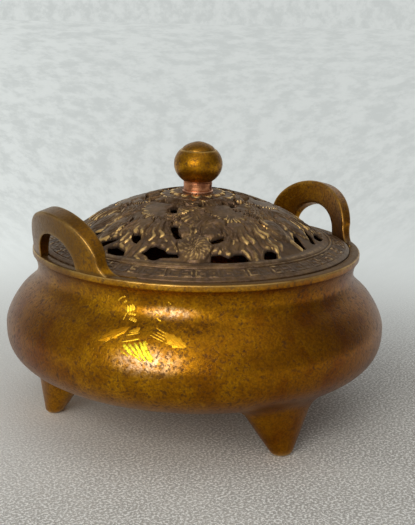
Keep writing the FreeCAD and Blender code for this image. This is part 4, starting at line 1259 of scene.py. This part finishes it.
def make_floor(stage):
    """A wide round floor, with painted light behind the burner on the window side.
    Seen by the camera it pales into the backdrop with its distance.
    """
    radius = np.array([0, 60, 120, 200, 300, 450, 700, 1100, 2000, 4000.0])
    columns = 72
    shell = Shell()
    index = shell.index(revolve(np.stack([radius, 0 * radius], axis=1), round_trip(columns)))
    shell.weave(index[::-1], ring=True)
    floor = shell.build("floor")
    material, g = new_material("pale_floor")
    place = g.place()
    distance = g.vector("LENGTH", place, output="Value")
    speck = g.noise(0.85, 2, 0.7)
    # Painted light: the floor is paler behind the burner on the window side, but not where the shadow
    # falls.
    beyond = g.along(place, math.radians(99)).step(-0.05, 0.07)
    colour = g.mix(g.noise(38, 4, 0.6).step(0.3, 0.7), stage.floor_shade, stage.floor_colour)
    colour = g.mix(speck.step(0.46, 0.60), colour, stage.floor_speck)
    colour = g.mix(beyond * 0.85, colour, stage.floor_far_lit)
    surface = g.add("ShaderNodeBsdfPrincipled", {}, {
        "Base Color": colour, "Roughness": 0.9, "Normal": g.bump(speck, 0.25)})
    outward = g.vector("NORMALIZE", place)
    rise = g.add("ShaderNodeCombineXYZ", {}, {2: distance.math("LOGARITHM", math.e) * 0.19})
    wall = backdrop_colour(g, stage, outward, g.vector("ADD", outward, rise), 46.0,
                           distance.step(0.14, 0.5))
    haze = g.add("ShaderNodeEmission", {}, {"Color": wall, "Strength": 1.0})
    share = distance.step(0.08, 0.28) * looking(g)
    g.finish(g.add("ShaderNodeMixShader", {}, {0: share, 1: surface, 2: haze}))
    floor.data.materials.append(material)


def make_world(stage):
    """A grey room, paler towards the window side, with a pale mottled backdrop.

    The camera sees the backdrop all round. Metal sees it where it stands, behind the burner, and the
    room elsewhere.
    """
    world = bpy.data.worlds.new("studio_room")
    bpy.context.scene.world = world
    g = Graph(world)
    direction = g.add("ShaderNodeTexCoord", output="Generated")
    facing = g.along(direction, math.radians(stage.window_azimuth), 0.35)
    behind = g.along(direction, stage.camera_azimuth + math.pi / 2)
    room = g.mix(facing.step(-1.0, 1.1), stage.room_dark, stage.room_light)
    wall = backdrop_colour(g, stage, direction, direction, 110.0, 1.0)
    camera = g.add("ShaderNodeLightPath", output="Is Camera Ray")
    mirrored = looking(g) * behind.step(0.35, 0.80)
    shown = g.mix((camera + mirrored).clamp(), room, wall)
    g.finish(g.add("ShaderNodeBackground", {}, {"Color": shown, "Strength": 1.0}),
             "ShaderNodeOutputWorld")


# Add-on


def number(name, description, default, unit="NONE"):
    return FloatProperty(name=name, description=description, default=default, unit=unit)


def tint(name, description, default):
    return FloatVectorProperty(name=name, description=description, default=default, subtype="COLOR",
                               min=0, max=1)


def turn(name, description, default):
    return FloatProperty(name=name, description=description, default=math.radians(default),
                         subtype="ANGLE")


def count(name, description, default):
    return IntProperty(name=name, description=description, default=default, min=3)


class BurnerSizes(bpy.types.PropertyGroup):
    turn_steps: count("Turn steps", "Columns of the turned bowl", 256)
    foot_steps: count("Foot steps", "Columns of a foot", 96)
    foot_flare: number("Foot flare", "Where a foot's flare starts below the belly, in millimetres", 3.0)
    rim_edge: number("Rim edge", "Rounding of the lip's upper edge, in millimetres", 0.32)
    left_edge: number("Left edge", "Rounding of the left handle's edges, in millimetres", 0.4)
    right_edge: number("Right edge", "Rounding of the right handle's edges, in millimetres", 0.8)
    left_loop: number("Left loop", "Rise of the left handle's loop over the lip, in millimetres", 9.6)
    right_loop: number("Right loop", "Rise of the right handle's loop over the lip, in millimetres", 8.6)
    fret_repeats: count("Fret repeats", "Repeats of the key pattern round the lid", 37)
    fret_height: number("Fret height", "Height of the key pattern, in millimetres", 0.26)
    carving_columns: count("Carving columns", "Columns of the carved field, a multiple of six", 1152)
    carving_rows: count("Carving rows", "Rows of the carved field", 146)
    fringe_steps: count("Fringe steps", "Columns of the crown of petals", 420)


class BurnerColours(bpy.types.PropertyGroup):
    bronze: tint("Bronze", "Oiled bronze", (0.49, 0.210, 0.005))
    bronze_deep: tint("Deep bronze", "Tarnished bronze", (0.31, 0.120, 0.003))
    # Yellow patches, and also the painted light on the lower belly and the feet.
    bronze_bright: tint("Bright bronze", "Yellow patches", (0.70, 0.34, 0.006))
    # Reddish patches, and also the painted shade of the sides.
    bronze_red_and_shade: tint("Red bronze", "Reddish patches", (0.235, 0.068, 0.002))
    # Painted highlight: the pale colour of the window's glare on the belly and the neck.
    bronze_painted_highlight: tint("Pale bronze", "Rubbed patches", (0.76, 0.53, 0.31))
    bronze_worn: tint("Worn bronze", "Worn edges", (0.78, 0.50, 0.16))
    bronze_dusty: tint("Dusty bronze", "Brown top of the rim", (0.135, 0.068, 0.014))
    # Also the colour of the painted dark reflection under the neck.
    speck: tint("Specks", "Ragged dark specks", (0.055, 0.018, 0.002))
    gilt: tint("Gilt", "Gold leaf", (0.90, 0.50, 0.03))
    gilt_bright: tint("Bright gilt", "Yellow gold leaf", (0.95, 0.78, 0.04))
    gilt_deep: tint("Deep gilt", "Orange gold leaf", (0.62, 0.24, 0.004))
    lid: tint("Lid", "Brown bronze of the lid", (0.215, 0.122, 0.050))
    lid_deep: tint("Deep lid", "Dark patches of the lid", (0.115, 0.064, 0.030))
    lid_grey: tint("Grey lid", "Dusty patches of the lid", (0.245, 0.150, 0.098))
    # Worn gold, brightened as a painted highlight.
    lid_worn_and_highlight: tint("Worn lid", "Worn gold of the carving", (0.88, 0.55, 0.19))
    soot: tint("Soot", "Hollows of the carving", (0.018, 0.009, 0.005))
    copper: tint("Copper", "Collar", (0.58, 0.24, 0.11))
    copper_dark: tint("Dark copper", "Tarnished copper", (0.24, 0.085, 0.04))
    copper_bright: tint("Bright copper", "Edge of the collar", (0.90, 0.52, 0.32))
    zinc: tint("Zinc", "Plated stud, washer and nut", (0.56, 0.57, 0.55))
    zinc_dark: tint("Dark zinc", "Dull crystals of the plating", (0.42, 0.43, 0.42))
    rust: tint("Rust", "Spots on the plating", (0.16, 0.07, 0.03))


class BurnerStage(bpy.types.PropertyGroup):
    camera_azimuth: turn("Azimuth", "Camera's turn from -Y", -36.227)
    camera_elevation: turn("Elevation", "Camera's height over the floor", 14.95)
    camera_pan: turn("Pan", "Turn of the view to the side", 0.568)
    camera_tilt: turn("Tilt", "Turn of the view upwards", 1.301)
    camera_roll: turn("Roll", "Turn of the view about its axis", -1.2247)
    camera_distance: number("Distance", "Camera's distance from its target", 0.4, "LENGTH")
    camera_target: number("Target", "Level that the camera aims at", 0.0443, "LENGTH")
    camera_lens: number("Lens", "Focal length", 78.69, "CAMERA")
    window_azimuth: number("Window azimuth", "Side that the light comes from, in degrees", 212.0)
    window_power: number("Window power", "Main soft light", 3.05, "POWER")
    fill_power: number("Fill power", "Second soft light", 1.2, "POWER")
    floor_colour: tint("Floor", "Pale floor", (0.52, 0.50, 0.45))
    floor_shade: tint("Floor shade", "Clouds on the floor", (0.43, 0.41, 0.37))
    floor_speck: tint("Floor specks", "Specks on the floor", (0.97, 0.96, 0.91))
    # Painted light on the floor behind the burner, on the window side.
    floor_far_lit: tint("Far floor", "Floor behind the burner", (0.93, 0.935, 0.89))
    backdrop: tint("Backdrop", "Pale wall behind, on the window side", (0.77, 0.81, 0.79))
    backdrop_shade: tint("Backdrop shade", "Pale wall behind, away from the window", (0.63, 0.66, 0.645))
    backdrop_mottle: tint("Backdrop mottle", "Clouds on the wall", (0.46, 0.49, 0.48))
    room_dark: tint("Dark side", "Room away from the window", (0.10, 0.10, 0.10))
    room_light: tint("Light side", "Room beside the window", (0.45, 0.46, 0.47))


class BURNER_OT_bowl(bpy.types.Operator):
    """Make the bowl"""
    bl_idname = "burner.bowl"
    bl_label = "Bowl"

    def execute(self, context):
        make_bowl(context.scene.burner_sizes, bronze_body(context.scene.burner_colours))
        return {"FINISHED"}


class BURNER_OT_gilding(bpy.types.Operator):
    """Lay the gold strokes on the belly"""
    bl_idname = "burner.gilding"
    bl_label = "Gilding"

    def execute(self, context):
        make_gilding(gilt(context.scene.burner_colours))
        return {"FINISHED"}


class BURNER_OT_feet(bpy.types.Operator):
    """Make the three feet"""
    bl_idname = "burner.feet"
    bl_label = "Feet"

    def execute(self, context):
        material = bpy.data.materials["oiled_bronze"]
        for node, azimuth in (("foot_front", 270), ("foot_back_right", 30), ("foot_back_left", 150)):
            make_foot(node, math.radians(azimuth), context.scene.burner_sizes, material)
        return {"FINISHED"}


class BURNER_OT_handles(bpy.types.Operator):
    """Make the two handles"""
    bl_idname = "burner.handles"
    bl_label = "Handles"

    def execute(self, context):
        sizes = context.scene.burner_sizes
        material = bpy.data.materials["oiled_bronze"]
        make_handle("handle_right", math.radians(-1.5), sizes.right_edge, sizes.right_loop, material)
        make_handle("handle_left", math.radians(180), sizes.left_edge, sizes.left_loop, material)
        return {"FINISHED"}


class BURNER_OT_lid(bpy.types.Operator):
    """Make the rim, the carved field and the crown of the lid"""
    bl_idname = "burner.lid"
    bl_label = "Lid"

    def execute(self, context):
        sizes = context.scene.burner_sizes
        material = bronze_lid(context.scene.burner_colours)
        make_lid_ring(sizes, material)
        make_carving(sizes, material)
        make_fringe(sizes, material)
        return {"FINISHED"}


class BURNER_OT_finial(bpy.types.Operator):
    """Make the knob and its collar, and finish the fixing under them"""
    bl_idname = "burner.finial"
    bl_label = "Finial"

    def execute(self, context):
        colours = context.scene.burner_colours
        make_knob(bpy.data.materials["oiled_bronze"])
        make_collar(copper(colours))
        plated = steel(colours)
        for node in ("finial_stud", "finial_washer", "finial_nut"):
            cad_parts[node].data.materials.clear()
            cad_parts[node].data.materials.append(plated)
        return {"FINISHED"}


class BURNER_OT_stage(bpy.types.Operator):
    """Make the floor, the lights, the room and the camera"""
    bl_idname = "burner.stage"
    bl_label = "Stage"

    def execute(self, context):
        stage = context.scene.burner_stage
        make_floor(stage)
        make_world(stage)
        make_lamp("window_light", stage.window_azimuth, 22, 0.8, 0.48, stage.window_power,
                  (1.0, 0.97, 0.93))
        make_lamp("ceiling_light", 250, 68, 0.9, 0.9, stage.fill_power, (1.0, 1.0, 1.0))
        make_camera(stage)
        context.scene.view_settings.view_transform = "Standard"
        return {"FINISHED"}


class BURNER_PT_panel(bpy.types.Panel):
    """Steps that dress the burner"""
    bl_idname = "BURNER_PT_panel"
    bl_label = "Incense burner"
    bl_space_type = "VIEW_3D"
    bl_region_type = "UI"
    bl_category = "Burner"

    def draw(self, context):
        for step in STEPS:
            self.layout.operator(step.bl_idname)
        scene = context.scene
        for group in (scene.burner_sizes, scene.burner_colours, scene.burner_stage):
            box = self.layout.box()
            for name in group.__annotations__:
                box.prop(group, name)


STEPS = (BURNER_OT_bowl, BURNER_OT_gilding, BURNER_OT_feet, BURNER_OT_handles, BURNER_OT_lid,
         BURNER_OT_finial, BURNER_OT_stage)
CLASSES = (BurnerSizes, BurnerColours, BurnerStage, *STEPS, BURNER_PT_panel)


def register():
    for made in CLASSES:
        bpy.utils.register_class(made)
    bpy.types.Scene.burner_sizes = PointerProperty(type=BurnerSizes)
    bpy.types.Scene.burner_colours = PointerProperty(type=BurnerColours)
    bpy.types.Scene.burner_stage = PointerProperty(type=BurnerStage)


def unregister():
    del bpy.types.Scene.burner_stage
    del bpy.types.Scene.burner_colours
    del bpy.types.Scene.burner_sizes
    for made in reversed(CLASSES):
        bpy.utils.unregister_class(made)


def main():
    register()
    bpy.ops.burner.bowl()
    bpy.ops.burner.gilding()
    bpy.ops.burner.feet()
    bpy.ops.burner.handles()
    bpy.ops.burner.lid()
    bpy.ops.burner.finial()
    bpy.ops.burner.stage()


if __name__ == "__main__":
    main()
